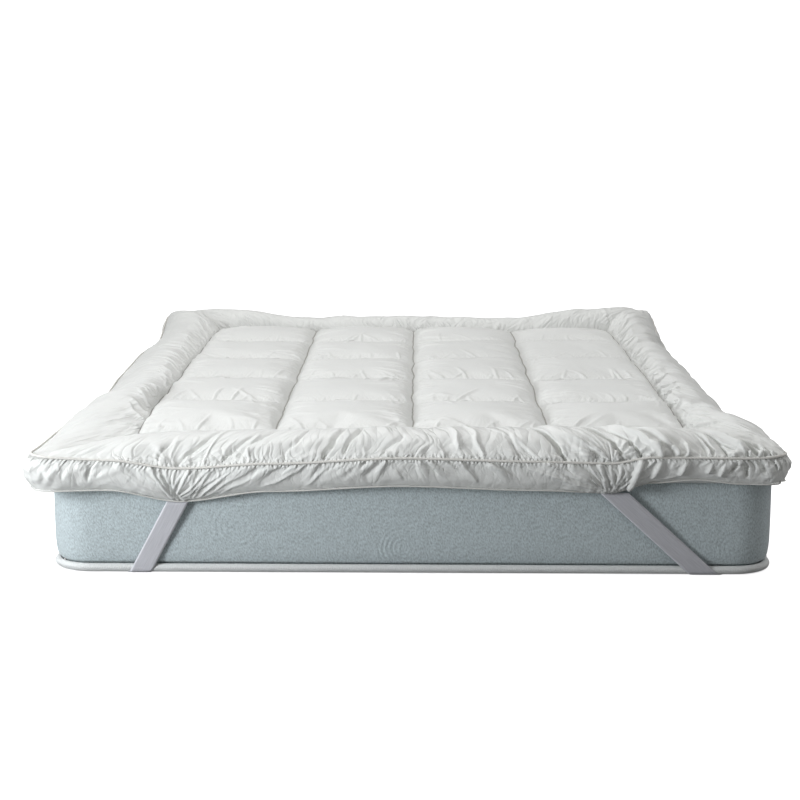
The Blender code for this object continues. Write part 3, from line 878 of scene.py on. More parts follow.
def rings(given):
    """Rings round places set out along a strip, and 0 away from them."""
    x, y = split(given["Place"])
    half = given["Spacing"] * 0.5
    along = half - (x - given["Start"]).do("PINGPONG", half)
    up = y - given["Height"]
    radius = (along * along + up * up).do("SQRT")
    wave = (radius / given["Pitch"] * math.tau).do("SINE")
    inside = (1.0 - radius / given["Radius"]).do("MAXIMUM", 0.0).do("MINIMUM", 0.25)
    return wave * (inside * 4.0)


# Each group's nodes, and the defaults of its inputs beside the place in metres.
GROUPS = {
    "weave": (weave, {"Threads per metre": 2500.0}),
    "creases": (creases, {"From seam": 0.0, "Reach": 0.035, "Far share": 0.35}),
    "puckers": (puckers, {"Seam": 0.0, "Pitch": 0.0075, "Reach": 0.012}),
    "rings": (
        rings,
        {"Spacing": 0.30, "Start": 0.0, "Height": 0.10, "Radius": 0.075, "Pitch": 0.011},
    ),
}


def new_group(name):
    """A node group that turns a place and some numbers into a height."""
    build, numbers = GROUPS[name]
    group = bpy.data.node_groups.new(name, "ShaderNodeTree")
    group.interface.new_socket("Place", in_out="INPUT", socket_type="NodeSocketVector")
    for title, default in numbers.items():
        socket = group.interface.new_socket(title, in_out="INPUT", socket_type="NodeSocketFloat")
        socket.default_value = default
    group.interface.new_socket("Height", in_out="OUTPUT", socket_type="NodeSocketFloat")
    start, end = group.nodes.new("NodeGroupInput"), group.nodes.new("NodeGroupOutput")
    given = {title: Wire(group, start.outputs[title]) for title in ("Place", *numbers)}
    feed(build(given), end.inputs["Height"])
    return group


def use_group(name, place, **values):
    """A group's height at a place; the values are its inputs, with _ for a space."""
    group = bpy.data.node_groups.get(name) or new_group(name)
    values = {title.replace("_", " "): value for title, value in values.items()}
    node = place.tree.nodes.new("ShaderNodeGroup")
    node.node_tree = group
    for title, value in {"Place": place, **values}.items():
        feed(value, node.inputs[title])
    return Wire(place.tree, node.outputs["Height"])


def new_material(name, roughness, sheen=0.0, sheen_roughness=0.5):
    """A material, with its tree and its shader's inputs."""
    material = bpy.data.materials.new(name)
    material.use_nodes = True
    tree = material.node_tree
    shader = tree.nodes["Principled BSDF"].inputs
    shader["Roughness"].default_value = roughness
    shader["Sheen Weight"].default_value = sheen
    shader["Sheen Roughness"].default_value = sheen_roughness
    shader["Specular IOR Level"].default_value = 0.35
    return material, tree, shader


def bump(tree, shader, layers):
    """Bumps one over another: (height, distance in metres, strength)."""
    values = {}
    for height, distance, strength in layers:
        values.update(Height=height, Distance=distance, Strength=strength)
        values["Normal"] = new_node(tree, "Bump", "Normal", values)
    feed(values["Normal"], shader["Normal"])


def cotton(name, color, seams, depth, pucker=None, far=0.35):
    """Tightly woven cotton with creases, weave and a soft sheen. seams are (axis of the UV map,
    where it is, distance to the next or 0, strength of the painted shade in its groove), pucker
    is the place along UV Y of a piping with tight gathers beside it, and far is the creases' share
    away from seams."""
    material, tree, shader = new_material(name, 0.52, 0.3, 0.4)
    place = new_node(tree, "TexCoord", "UV")
    x, y = split(place)
    plain = ramp(noisy(place, 3.0, 2.0), (0.35, shade(color, 0.965)), (0.65, color))
    layers, line = [(use_group("weave", place), 0.00004, 0.5)], None
    for axis, at, repeat, seam_shade_strength in seams:
        across, along = (x, y) if axis == "X" else (y, x)
        away = (across - at).do("PINGPONG", repeat / 2) if repeat else (across - at).do("ABSOLUTE")
        run = new_node(tree, "CombineXYZ", 0, (y, x)) if axis == "X" else place
        layers.insert(0, (use_group("creases", run, From_seam=away, Far_share=far), depth, 1.0))
        # A seam's line is painted shade, as falls in its groove, darker in dashes where its
        # stitches are.
        if seam_shade_strength:
            stitch = along.do("PINGPONG", 0.003).do("GREATER_THAN", 0.001)
            seam_shade_and_stitches = (1.0 - away / 0.0024).do("MAXIMUM", 0.0) * seam_shade_strength * (stitch * 0.35 + 0.65)
            line = seam_shade_and_stitches if line is None else line.do("MAXIMUM", seam_shade_and_stitches)
    if line is not None:
        # The painted groove shade's colour, a dark brown, laid over the cotton.
        plain = mix(line, plain, (0.12, 0.095, 0.07, 1.0))
    feed(plain, shader["Base Color"])
    if pucker is not None:
        layers.insert(0, (use_group("puckers", place, Seam=pucker), 0.0014, 1.0))
    bump(tree, shader, layers)
    return material


# ------------------------------------------------------------ settings


def color_setting(name, description, default):
    return FloatVectorProperty(
        name=name, description=description, default=default, subtype="COLOR", size=3, min=0, max=1
    )


def length_setting(name, description, default, least=0.0):
    return FloatProperty(
        name=name, description=description, default=default, min=least, unit="LENGTH"
    )


def power_setting(name, description, default):
    return FloatProperty(name=name, description=description, default=default, min=0, unit="POWER")


class BedTopperSettings(PropertyGroup):
    cotton_color: color_setting("Cotton", "Colour of the topper's cover", (0.840, 0.848, 0.822))
    gather: FloatProperty(
        name="Gathers", description="How strong the folds in the border and wall are",
        default=1.0, min=0, max=2,
    )
    filling: FloatProperty(
        name="Filling", description="Pressure of the filling on the cover", default=4.0, min=0
    )
    steps: IntProperty(
        name="Steps", description="Frames that the cover takes to settle", default=18, min=2
    )
    most: length_setting("Most", "Furthest that the cover moves from its shape", 0.012)


class BedCordSettings(PropertyGroup):
    piping_radius: length_setting("Piping", "Radius of the cord below the border", 0.0026, 0.0005)
    hem_radius: length_setting("Hem cord", "Radius of the cord in the lower seam", 0.0018, 0.0005)
    hem_color: color_setting("Hem cord cover", "Colour of the lower cord", (0.70, 0.70, 0.67))
    color: color_setting("Cord", "Colour of the cords' cover", (0.80, 0.785, 0.74))


class BedStrapSettings(PropertyGroup):
    width: length_setting("Width", "Width of the elastic", 0.040, 0.005)
    thickness: length_setting("Thickness", "Thickness of the elastic", 0.0012, 0.0002)
    color: color_setting("Elastic", "Colour of the elastic", (0.60, 0.60, 0.635))


class BedMattressSettings(PropertyGroup):
    knit_color: color_setting("Knit", "Colour of the mattress's side", (0.520, 0.590, 0.608))
    tape_color: color_setting("Tape", "Colour of the rolled tape", (0.92, 0.935, 0.925))


class BedStageSettings(PropertyGroup):
    floor_color: color_setting("Floor", "Colour of the floor", (0.93, 0.93, 0.93))
    side: power_setting("Side light", "Power of the soft light at the foot's left", 39.0)
    above: power_setting("Light above", "Power of the large light above the head end", 160.0)
    sky: FloatProperty(
        name="Sky", description="Strength of the light from all round", default=0.548, min=0
    )


# ------------------------------------------------------------ topper


class BED_OT_quilt(Operator):
    """The quilted middle: crowned cells held down by their seams"""

    bl_idname = "bed.quilt"
    bl_label = "Quilted middle"

    def execute(self, context):
        settings = context.scene.bed_topper
        steps_x, steps_y = CELL_STEPS[0] * COLUMNS, CELL_STEPS[1] * ROWS

        def place(u, v):
            x, y = (2 * u - 1) * QUILT_X, (2 * v - 1) * QUILT_Y
            return Vector((x + seam_wobble(x, y), y, SEAM_Z + cell_height(u, v)))

        bm = grid(steps_x, steps_y, place, (2 * QUILT_X, 2 * QUILT_Y), closed=False)
        # The last number of each seam is the strength of the painted shade along its groove.
        seams = (("X", 0, 2 * QUILT_X / COLUMNS, 1.0), ("Y", 0, 2 * QUILT_Y / ROWS, 0.25))
        material = cotton("cotton_quilt", settings.cotton_color, seams, 0.0016, far=0.08)
        piece = piece_from("quilt_cover", bm, material, "topper")
        u, v = shares_of(piece.data)
        column, row = (u * COLUMNS) % 1, (v * ROWS) % 1
        on_column = np.minimum(column, 1 - column) * steps_x / COLUMNS < 0.5
        on_row = np.minimum(row, 1 - row) * steps_y / ROWS < 0.5
        held = on_column | on_row
        heights = np.where(held, 0.0, quilt_broad(u, v))
        inflate(piece, held, heights, settings.steps, 0.35 * settings.filling, 0.6 * settings.most)
        refine(piece, quilt_fine)
        return {"FINISHED"}


def fuller(across, along):
    """1 at the head end's right, where the filling is fuller and the cells are smoother."""
    return eased(np.clip(across - 1.9, 0, 1)) * eased(np.clip(along - 1.8, 0, 1))


def cell_height(u, v):
    """The height of the quilted middle above its seams."""
    across, along = u * COLUMNS, v * ROWS
    side_x = abs(2 * (across - math.floor(across)) - 1)
    side_y = abs(2 * (along - math.floor(along)) - 1)
    crown_x = max(0.0, 1 - side_x**4) ** 0.5
    crown_y = max(0.0, 1 - side_y**3.2) ** 0.6
    if 0.5 < along < ROWS - 0.5:
        low = ROW_SEAM_LIFT + ROW_SEAM_SLACK * fuller(across, along)
        crown_y = low + (1 - low) * crown_y
    lift = 0.0
    if min(across, COLUMNS - across) < 0.5:
        lift = (seam_z("left", 2 * v - 1) - SEAM_Z) * side_x**4
    return lift + CROWN * crown_x * crown_y


def quilt_places(u, v):
    """(x, y) on the quilted middle, from its corner, and the distance from the nearest seam."""
    cell_x, cell_y = 2 * QUILT_X / COLUMNS, 2 * QUILT_Y / ROWS
    from_column = np.abs((u * COLUMNS + 0.5) % 1 - 0.5) * cell_x
    from_row = np.abs((v * ROWS + 0.5) % 1 - 0.5) * cell_y
    return u * 2 * QUILT_X, v * 2 * QUILT_Y, np.minimum(from_column, from_row)


def quilt_folds(seed, pitch, length, wide, height, u, v):
    """Folds that run out from both sides of every sewn seam."""
    x, y, from_seam = quilt_places(u, v)
    total = np.zeros(len(u))
    for lines, size, end, wider, lean, along, out in (
        (COLUMNS, 2 * QUILT_X, 2 * QUILT_Y, 1.6, 0.35, y, x),
        (ROWS, 2 * QUILT_Y, 2 * QUILT_X, 1.0, 0.45, x, y),
    ):
        widths = (wider * wide[0], wider * wide[1])
        for line in range(lines + 1):
            for side in (0.0, math.pi):
                folds = sow(
                    seed + line, 0, end, pitch, length, widths, height, lean, line * size / lines,
                    side,
                )
                seed += 17
                total = np.maximum(total, fold_heights(folds, along, out))
    total *= 1 - 0.6 * fuller(u * COLUMNS, v * ROWS)
    return total * np.clip(from_seam / 0.006, 0, 1)


def quilt_broad(u, v):
    """The large folds, which the filling blows up."""
    x, y, from_seam = quilt_places(u, v)
    fade = np.clip(from_seam / 0.03, 0, 1)
    folds = quilt_folds(900, 0.075, (0.06, 0.14), (0.008, 0.014), (0.0010, 0.003), u, v)
    return folds + 0.0010 * soft_noise(71, 0.05, x, y) * fade


def quilt_fine(u, v):
    """The small folds and creases on the filled shape."""
    x, y, from_seam = quilt_places(u, v)
    near = bell(from_seam, 0.05)
    folds = quilt_folds(300, 0.030, (0.03, 0.13), (0.0045, 0.009), (0.0024, 0.0060), u, v)
    fade = np.clip(from_seam / 0.01, 0, 1)
    return folds + crumple(61, 0.060, x, y) * fade * (0.0003 + 0.0007 * near)


class BED_OT_border(Operator):
    """The padded border, the side wall below its piping, and the underside"""

    bl_idname = "bed.border"
    bl_label = "Border and wall"

    def execute(self, context):
        settings = context.scene.bed_topper
        color, gather = settings.cotton_color, settings.gather
        filled = settings.steps, settings.filling, settings.most
        # The last number of each seam is the strength of the painted shade along its groove.
        seams = ("Y", BORDER_WIDTH, 0, 0), ("Y", 0, 0, 0.9)
        border_cloth = cotton("cotton_border", color, seams, 0.0034, BORDER_WIDTH)
        wall_cloth = cotton("cotton_wall", color, (("Y", 0, 0, 0),), 0.0036, 0.0)
        pulls = pull_places()
        folds = border_folds(pulls)
        start = 0.0
        for edge, length in STRIPS:
            def place(u, v, start=start, length=length):
                return lie(start + u * length).border(2 * v)

            size = (length, BORDER_WIDTH)
            bm = grid(*BORDER_STEPS[edge], place, size, closed=False, flip=True)
            piece = piece_from("border_" + edge, bm, border_cloth, "topper")
            u, v = shares_of(piece.data)
            held = np.minimum(np.minimum(v, 1 - v), np.minimum(u, 1 - u)) < 1e-6
            inflate(piece, held, border_broad(folds, start, length, u, v) * gather, *filled)

            def heights(u, v, start=start, length=length):
                return border_fine(folds, start, length, u, v) * gather

            refine(piece, heights)
            start += length

        folds = wall_folds(pulls)
        bm = grid(
            *WALL_STEPS, lambda u, v: lie(u * WALK).wall(v), (WALK, WALL_WIDTH), flip=True,
            spread=finer_foot,
        )
        wall = piece_from("wall_cover", bm, wall_cloth, "topper")
        u, v = shares_of(wall.data)
        held = np.minimum(v, 1 - v) < 1e-6
        inflate(wall, held, wall_broad(folds, u, v) * gather, *filled)
        refine(wall, lambda u, v: wall_fine(folds, u, v) * gather)

        bm = grid(
            *UNDERSIDE_STEPS, lambda u, v: lie(u * WALK).underside(v), (WALK, UNDERSIDE_WIDTH),
            flip=True,
        )
        close_rim(bm, MATTRESS_TOP + SKIN_GAP)
        bmesh.ops.recalc_face_normals(bm, faces=bm.faces[:])
        plain = cotton("cotton_underside", color, (("Y", 0, 0, 0),), 0.0030)
        under = piece_from("under_cover", bm, plain, "topper")
        return {"FINISHED"}


def seam_fade(u, v, width, length):
    """0 on a strip's seams and at its ends, 1 away from them."""
    from_seam, from_end = np.minimum(v, 1 - v) / width, np.minimum(u, 1 - u) * length / 0.02
    return np.clip(np.minimum(from_seam, from_end), 0, 1)


def near_corners(along):
    """1 at the corners of the topper, falling off over a hand's width."""
    return bell(np.min([np.abs(along - end) for end in CORNERS], axis=0), 0.11)


def gathered(along, shares):
    """Shares that are set out evenly from the foot's left corner to its right one."""
    return np.interp(along, np.linspace(WALK_Y, WALK_Y + WALK_X, len(shares)), shares)


def border_folds(pulls):
    """All folds of the border: from its piping, from the quilt's seam and listed one by one."""
    slack = (WALK_Y + 0.04, WALK_Y + 0.11)  # the foot's left corner is smooth
    low = {
        "out": BORDER_WIDTH, "turned": math.pi, "aim": from_pulls(pulls, 0.16, 0.30), "but": slack
    }
    folds = {
        "full": belt(31, 0.034, (0.10, 0.22), (0.018, 0.034), (0.003, 0.007), 0.35, full=1, **low)
        + belt(32, 0.045, (0.08, 0.16), (0.014, 0.028), (0.002, 0.005), 0.35, full=1),
        "large": placed_folds(CREASES, BORDER_WIDTH)
        + belt(37, 0.060, (0.05, 0.15), (0.006, 0.012), (0.002, 0.005), 0.45, **low),
        "small": belt(33, 0.022, (0.02, 0.06), (0.004, 0.008), (0.0016, 0.0042), 0.45, **low)
        + belt(36, 0.009, (0.008, 0.020), (0.003, 0.0045), (0.0016, 0.0030), 0.30, **low)
        + belt(34, 0.020, (0.03, 0.12), (0.005, 0.009), (0.0014, 0.0040), 0.35)
        + sow(38, 0, WALK_Y, 0.045, (0.14, 0.28), (0.014, 0.030), (0.0050, 0.0110), 0.22,
              aim=lambda along: -0.7)
        + sow(39, WALK_Y + WALK_X, WALK - WALK_X, 0.045, (0.13, 0.26), (0.014, 0.028),
              (0.0045, 0.0100), 0.26, aim=lambda along: 0.6),
    }
    for seed, pull in enumerate(pulls, 40):
        folds["large"] += rays(seed, pull, BORDER_WIDTH, 1.2, 12, (0.07, 0.15), (0.003, 0.007))
    return folds


def calm_side(v, start):
    """The other edges are smoother than the foot, most of all near their piping."""
    if start == WALK_Y:
        return 1.0
    calm = 0.45 if start == 2 * WALK_Y + WALK_X else 0.85
    return calm * np.clip((1 - v) * BORDER_WIDTH / 0.05, 0.35, 1)


def border_broad(folds, start, length, u, v):
    """The large folds of one side of the border."""
    along, out = start + u * length, v * BORDER_WIDTH
    lift = relief(folds["full"], along, out, 50) + 0.5 * relief(folds["large"], along, out, 51)
    lift *= gathered(along, BORDER_GATHERS)
    return lift * seam_fade(u, v, 0.05, length) * calm_side(v, start)


def border_fine(folds, start, length, u, v):
    """The small folds of one side of the border, and the sharper part of its large ones."""
    along, out = start + u * length, v * BORDER_WIDTH
    low = bell((1 - v) * BORDER_WIDTH, 0.07)
    lift = 0.30 * relief(folds["full"], along, out, 50) + relief(folds["large"], along, out, 51)
    lift += relief(folds["small"], along, out, 55)
    lift *= gathered(along, BORDER_GATHERS)
    corner = near_corners(along) * gathered(along, CORNER_GATHERS)
    lift += crumple(57, 0.040, along, out) * (0.0002 + 0.0005 * low + 0.0030 * corner)
    lift += crumple(58, 0.016, along, out) * 0.0016 * corner
    return lift * seam_fade(u, v, 0.03, length) * calm_side(v, start)


def wall_folds(pulls):
    """All folds of the wall: from its piping, and in fans from where the straps pull."""
    aim = from_pulls(pulls, 0.10, 0.35)
    folds = {
        "large": placed_folds(WALL_CREASES, WALL_WIDTH)
        + belt(131, 0.036, (0.05, 0.10), (0.012, 0.022), (0.002, 0.005), 0.35, aim=aim, full=1,
               but=[*pulls, *CORNERS]),
        "small": belt(133, 0.020, (0.015, 0.045), (0.004, 0.008), (0.0018, 0.0045), 0.35, aim=aim)
        + belt(134, 0.008, (0.008, 0.018), (0.003, 0.0045), (0.0016, 0.0032), 0.30),
        "pulls": pulls,
    }
    for seed, pull in enumerate(pulls, 140):
        folds["large"] += rays(seed, pull, WALL_WIDTH, 1.42, 21, (0.07, 0.14), (0.004, 0.008))
    return folds


def calm_hem(folds, along, v):
    """The wall is smoother near its hem, except where a strap pulls."""
    away = np.min([np.abs(along - pull) for pull in folds["pulls"]], axis=0)
    pulled = bell(away, 0.09)
    return 1 - 0.7 * np.clip((v - 0.45) / 0.4, 0, 1) * (1 - pulled)


def wall_broad(folds, u, v):
    """The large folds of the wall."""
    along, out = u * WALK, v * WALL_WIDTH
    lift = relief(folds["large"], along, out, 151, 0.0015) * calm_hem(folds, along, v)
    lift *= gathered(along, WALL_GATHERS)
    lift += 0.007 * crumple(153, 0.038, along, out) * near_corners(along) * (1 - v**3)
    return lift * seam_fade(u, v, 0.08, WALK)


def wall_fine(folds, u, v):
    """The small folds of the wall, and the sharper part of its large ones."""
    along, out = u * WALK, v * WALL_WIDTH
    corner = near_corners(along) * (1 - v**3)
    lift = 0.9 * relief(folds["large"], along, out, 151, 0.0015) * calm_hem(folds, along, v)
    lift += relief(folds["small"], along, out, 155, 0.0012)
    lift *= gathered(along, WALL_GATHERS)
    lift += crumple(157, 0.030, along, out) * (0.0008 - 0.0004 * v + 0.0050 * corner)
    return lift * seam_fade(u, v, 0.05, WALK)


# ------------------------------------------------------------ cords


class BED_OT_cords(Operator):
    """The covered cords in the border's and the wall's lower seam"""

    bl_idname = "bed.cords"
    bl_label = "Piping"

    def execute(self, context):
        settings = context.scene.bed_cords
        steps, sides = CORD_STEPS
        for name, node, place, radius, color in (
            ("piping_cord", "piping_upper", piping_middle, settings.piping_radius, settings.color),
            ("hem_cord", "piping_lower", hem_middle, settings.hem_radius, settings.hem_color),
        ):
            middles = [place(lie(i / steps * WALK), radius) for i in range(steps)]

            def ring(u, v, middles=middles, radius=radius):
                index = round(u * steps) % steps
                way = (middles[(index + 1) % steps] - middles[index - 1]).normalized()
                side = way.cross(Vector((0, 0, 1))).normalized()
                up = side.cross(way)
                turn = v * math.tau
                walked = index / steps * WALK
                uneven = CORD_UNEVEN * math.sin(walked / 0.011) * math.sin(walked / 0.037)
                round_it = side * math.cos(turn) + up * math.sin(turn)
                return middles[index] + round_it * (radius * (1 + uneven))

            bm = tube(steps, sides, ring, (WALK * 1.1, math.tau * radius))
            material = cord_material(name + "_cotton", color)
            piece = piece_from(name, bm, material, node)
        return {"FINISHED"}


def beside_seam(seam, faces, way, hint, reach):
    """The middle of a cord against the two faces that meet in a seam, on the side of hint."""
    above, below = ((face - seam) - way * (face - seam).dot(way) for face in faces)
    along = (below - above).normalized()
    away = hint - way * hint.dot(way)
    away = (away - along * away.dot(along)).normalized()
    narrow = 1.0
    for face in (above, below):
        if face.dot(away) > 0:
            narrow = min(narrow, face.normalized().cross(away).length)
    return seam + away * reach / narrow


def way_along(edge, part, share):
    """The direction of a seam at a place of the edge."""
    steps = (CORD_SEAM_STEP, -CORD_SEAM_STEP)
    after, before = (getattr(lie(edge.walked + step), part)(share) for step in steps)
    return (after - before).normalized()


def piping_middle(edge, radius):
    """The middle of the cord in the seam between the border and the wall."""
    seam = edge.border(2.0)
    faces = edge.border(1.7), edge.wall(0.28)
    out = (seam - edge.inner) * Vector((1, 1, 0))
    return beside_seam(seam, faces, way_along(edge, "border", 2.0), out, radius + CORD_GAP)


def hem_middle(edge, radius):
    """The middle of the cord in the seam below the wall."""
    seam = edge.wall(1.0)
    faces = edge.wall(0.7), edge.underside(0.25)
    down = Vector((*edge.outward, 0)) * 0.4 - Vector((0, 0, 1))
    return beside_seam(seam, faces, way_along(edge, "wall", 1.0), down, radius + CORD_GAP)


def cord_material(name, color):
    """Cotton drawn tight over a cord, with small gathers."""
    material, tree, shader = new_material(name, 0.6, 0.2)
    place = new_node(tree, "TexCoord", "UV")
    gather = grains(place, (160, 90, 1), 2.0)
    feed(ramp(gather, (0.3, shade(color, 0.9)), (0.7, color)), shader["Base Color"])
    weave_height = use_group("weave", mapped(place, (1, 1, 1), 0.785))
    bump(tree, shader, [(gather, 0.0006, 0.7), (weave_height, 0.00005, 0.5)])
    return material


# ------------------------------------------------------------ straps


class BED_OT_straps(Operator):
    """The elastic straps under the mattress's corners"""

    bl_idname = "bed.straps"
    bl_label = "Straps"

    def execute(self, context):
        settings = context.scene.bed_straps
        material = elastic_material(settings.color, settings.width)
        for row in STRAPS:
            start, finish = strap_route(row)
            way = (finish - start).normalized()
            across = Vector((-way.y, way.x)) * settings.width
            cuts = [(row.end, *cut) for cut in strap_cuts(row.end, row.end_x)]
            cuts += [(row.side, *c) for c in reversed(list(strap_cuts(row.side, row.side_y)))]
            lines = [strap_point(start, way, Vector((0, 0)), cut) for cut in cuts]
            levels = [0.0]
            for first, second in zip(lines, lines[1:]):
                levels.append(levels[-1] + (second - first).length)
            last = len(cuts) - 1

            def place(u, v, cuts=cuts, start=start, way=way, across=across, last=last):
                return strap_point(start, way, across * (u - 0.5), cuts[round(v * last)])

            bm = grid(STRAP_STEPS, last, place, (settings.width, 1.0), closed=False)
            level_uvs(bm, levels)
            bm.normal_update()
            bm.faces.ensure_lookup_table()
            if bm.faces[0].normal.y * DIRECTION[row.end] < 0:
                bmesh.ops.reverse_faces(bm, faces=bm.faces[:])
            piece = piece_from("elastic_" + row.name[6:], bm, material, row.name)
            solid = piece.modifiers.new("thickness", "SOLIDIFY")
            solid.thickness = settings.thickness
            solid.offset = 1.0
        return {"FINISHED"}


def strap_route(row):
    """A strap's ends with the mattress's sides folded down flat: its middle line is straight."""
    end, side = DIRECTION[row.end], DIRECTION[row.side]
    start = Vector((row.end_x, end * (HALF_Y + along_edge(row.end, row.end_x, "hem_z"))))
    finish = Vector((side * (HALF_X + along_edge(row.side, row.side_y, "hem_z")), row.side_y))
    return start, finish


def strap_cuts(edge, at):
    """Cuts across a strap, as (distance past the fold, distance out, height) of its inner face."""
    bend, middle_z = TAPE_RADIUS + STRAP_GAP, TAPE_LIFT + TAPE_RADIUS
    quarter = bend * math.pi / 2
    rise = along_edge(edge, at, "hem_z") - STRAP_BELOW_HEM - middle_z
    hem_out = along_edge(edge, at, "hem_out") - STRAP_BELOW_HEM + TAPE_INSET
    for step in range(16):
        climb = 1 - step / 16
        yield quarter + rise * climb, bend + (hem_out - bend) * climb, middle_z + rise * climb
    for step in range(8, -1, -1):
        turn = step / 8 * math.pi / 2
        yield bend * turn, bend * math.sin(turn), middle_z - bend * math.cos(turn)


def strap_point(start, way, across, cut):
    """A point of a strap where its line, on the folded-down sides, meets a cut."""
    edge, level, out, z = cut
    axis = 1 if edge in ENDS else 0
    fold = (HALF_X, HALF_Y)[axis] - TAPE_INSET
    line = start + across
    line = line + way * ((DIRECTION[edge] * (fold + level) - line[axis]) / way[axis])
    line[axis] = DIRECTION[edge] * (fold + out)
    return Vector((*line, z))


def elastic_material(color, width):
    """Woven elastic: fine ribs across it, and a smooth line along each edge."""
    material, tree, shader = new_material("elastic_webbing", 0.6, 0.15)
    place = new_node(tree, "TexCoord", "UV")
    x, y = split(place)
    ribs, cords = (y * (math.tau / 0.0016)).do("SINE"), (x * (math.tau / 0.0022)).do("SINE")
    edge = (x - width / 2).do("ABSOLUTE").do("GREATER_THAN", width / 2 - 0.0022)
    streak = grains(place, (900, 25, 1), 2.0)
    plain = ramp(streak, (0.35, shade(color, 0.9)), (0.65, shade(color, 1.06)))
    feed(mix(edge * 0.7, plain, (*shade(color, 1.35), 1.0)), shader["Base Color"])
    bump(tree, shader, [(ribs + cords * 0.4, 0.00012, 0.8)])
    return material


# ------------------------------------------------------------ mattress


class BED_OT_mattress(Operator):
    """The plain mattress with its knitted side and rolled tape"""

    bl_idname = "bed.mattress"
    bl_label = "Mattress"

    def execute(self, context):
        settings = context.scene.bed_mattress
        around = WALK * 1.06
        rows = side_rows()
        last = len(rows) - 1

        def place(u, v):
            out, z = rows[round(v * last)]
            edge, share, _ = place_on_walk(u * WALK)
            return Vector((*mattress_outline(edge, share, out), z))

        def roll(u, v):
            edge, share, _ = place_on_walk(u * WALK)
            turn = v * math.tau
            out = TAPE_RADIUS * math.cos(turn) - TAPE_INSET
            z = TAPE_LIFT + TAPE_RADIUS + TAPE_RADIUS * math.sin(turn)
            return Vector((*mattress_outline(edge, share, out), z))

        bm = grid(MATTRESS_STEPS, last, place, (around, 1.0))
        level_uvs(bm, [z for _, z in rows])
        close_rim(bm, rows[0][1])
        close_rim(bm, rows[last][1])
        bmesh.ops.recalc_face_normals(bm, faces=bm.faces[:])
        knit = knit_material(settings.knit_color)
        piece = piece_from("mattress_cover", bm, knit, "mattress")

        bm = tube(MATTRESS_STEPS, TAPE_SIDES, roll, (around, math.tau * TAPE_RADIUS))
        woven = tape_material(settings.tape_color)
        tape = piece_from("rolled_tape", bm, woven, "mattress_tape")
        return {"FINISHED"}


def side_rows():
    """(out, height) up the mattress's side: drawn in behind the tape, straight, then rounded."""
    rows = [
        (-0.0200, 0.0024), (-0.0185, 0.0195), (-0.0140, 0.0207), (-0.0100, 0.0215),
        (-0.0068, 0.0255), (-0.0040, 0.0320), (-0.0020, 0.045), (-0.0008, 0.060),
        (-0.0003, 0.085), (0.0, 0.110), (0.0, 0.135), (0.0, 0.160), (0.0, 0.178),
    ]
    for step in range(9):
        turn = step / 8 * math.pi / 2
        z = MATTRESS_TOP + MATTRESS_EDGE * (math.sin(turn) - 1)
        rows.append((MATTRESS_EDGE * (math.cos(turn) - 1), z))
    return rows


def knit_material(color):
    """Heathered knit: fine upright flecks, with faint rings pressed in."""
    material, tree, shader = new_material("knitted_side", 0.85, 0.2)
    place = new_node(tree, "TexCoord", "UV")
    flecks = grains(place, (400, 170, 1), 2.0, 0.6, 0.3)
    patches = grains(place, (60, 34, 1), 4.0, 0.6)
    seen = (grains(place, (7, 9, 1), 0.0) - 0.42).do("MAXIMUM", 0.0) * 6.0
    large = use_group("rings", place, Spacing=0.66, Start=0.08, Radius=0.065)
    small = use_group(
        "rings", place, Spacing=0.66, Start=0.41, Height=0.055, Radius=0.06, Pitch=0.009
    )
    pressed = (large + small) * seen
    mixed = flecks * 0.8 + patches * 0.2 + pressed * 0.014
    shades = (0.34, shade(color, 0.67)), (0.60, shade(color, 1.12))
    feed(ramp(mixed, *shades), shader["Base Color"])
    bump(tree, shader, [(pressed, 0.00018, 1.0), (flecks, 0.0009, 0.6)])
    return material


def tape_material(color):
    """Woven tape, sewn on with a zigzag of thread round its outer side."""
    material, tree, shader = new_material("rolled_tape", 0.75, 0.15)
    place = new_node(tree, "TexCoord", "UV")
    x, y = split(place)
    half = math.pi * TAPE_RADIUS
    zigzag = x.do("PINGPONG", 0.0024) - 0.0012
    off = ((y + 0.0012).do("WRAP", half, -half) - zigzag * 2.2).do("ABSOLUTE")
    thread = (1.0 - off / 0.0013).do("MAXIMUM", 0.0)
    ribs = grains(place, (420, 160, 1), 2.0, turn=0.6)
    shades = (0.25, shade(color, 0.74)), (0.85, color)
    feed(ramp(ribs * 0.7 + thread * 0.7, *shades), shader["Base Color"])
    bump(tree, shader, [(thread, 0.0009, 1.0), (ribs, 0.0005, 0.8)])
    return material


# ------------------------------------------------------------ stage

CAMERA_PLACE, CAMERA_LENS = (0.0038, -4.69, 0.9916), 82.9
YAW, PITCH, ROLL = -0.0079, 0.1682, -0.0027  # right, down and over from straight at the head end
FLOOR_HALF, FLOOR_BEND, BEND_STEPS, BACKDROP = 9, 0.6, 10, 6


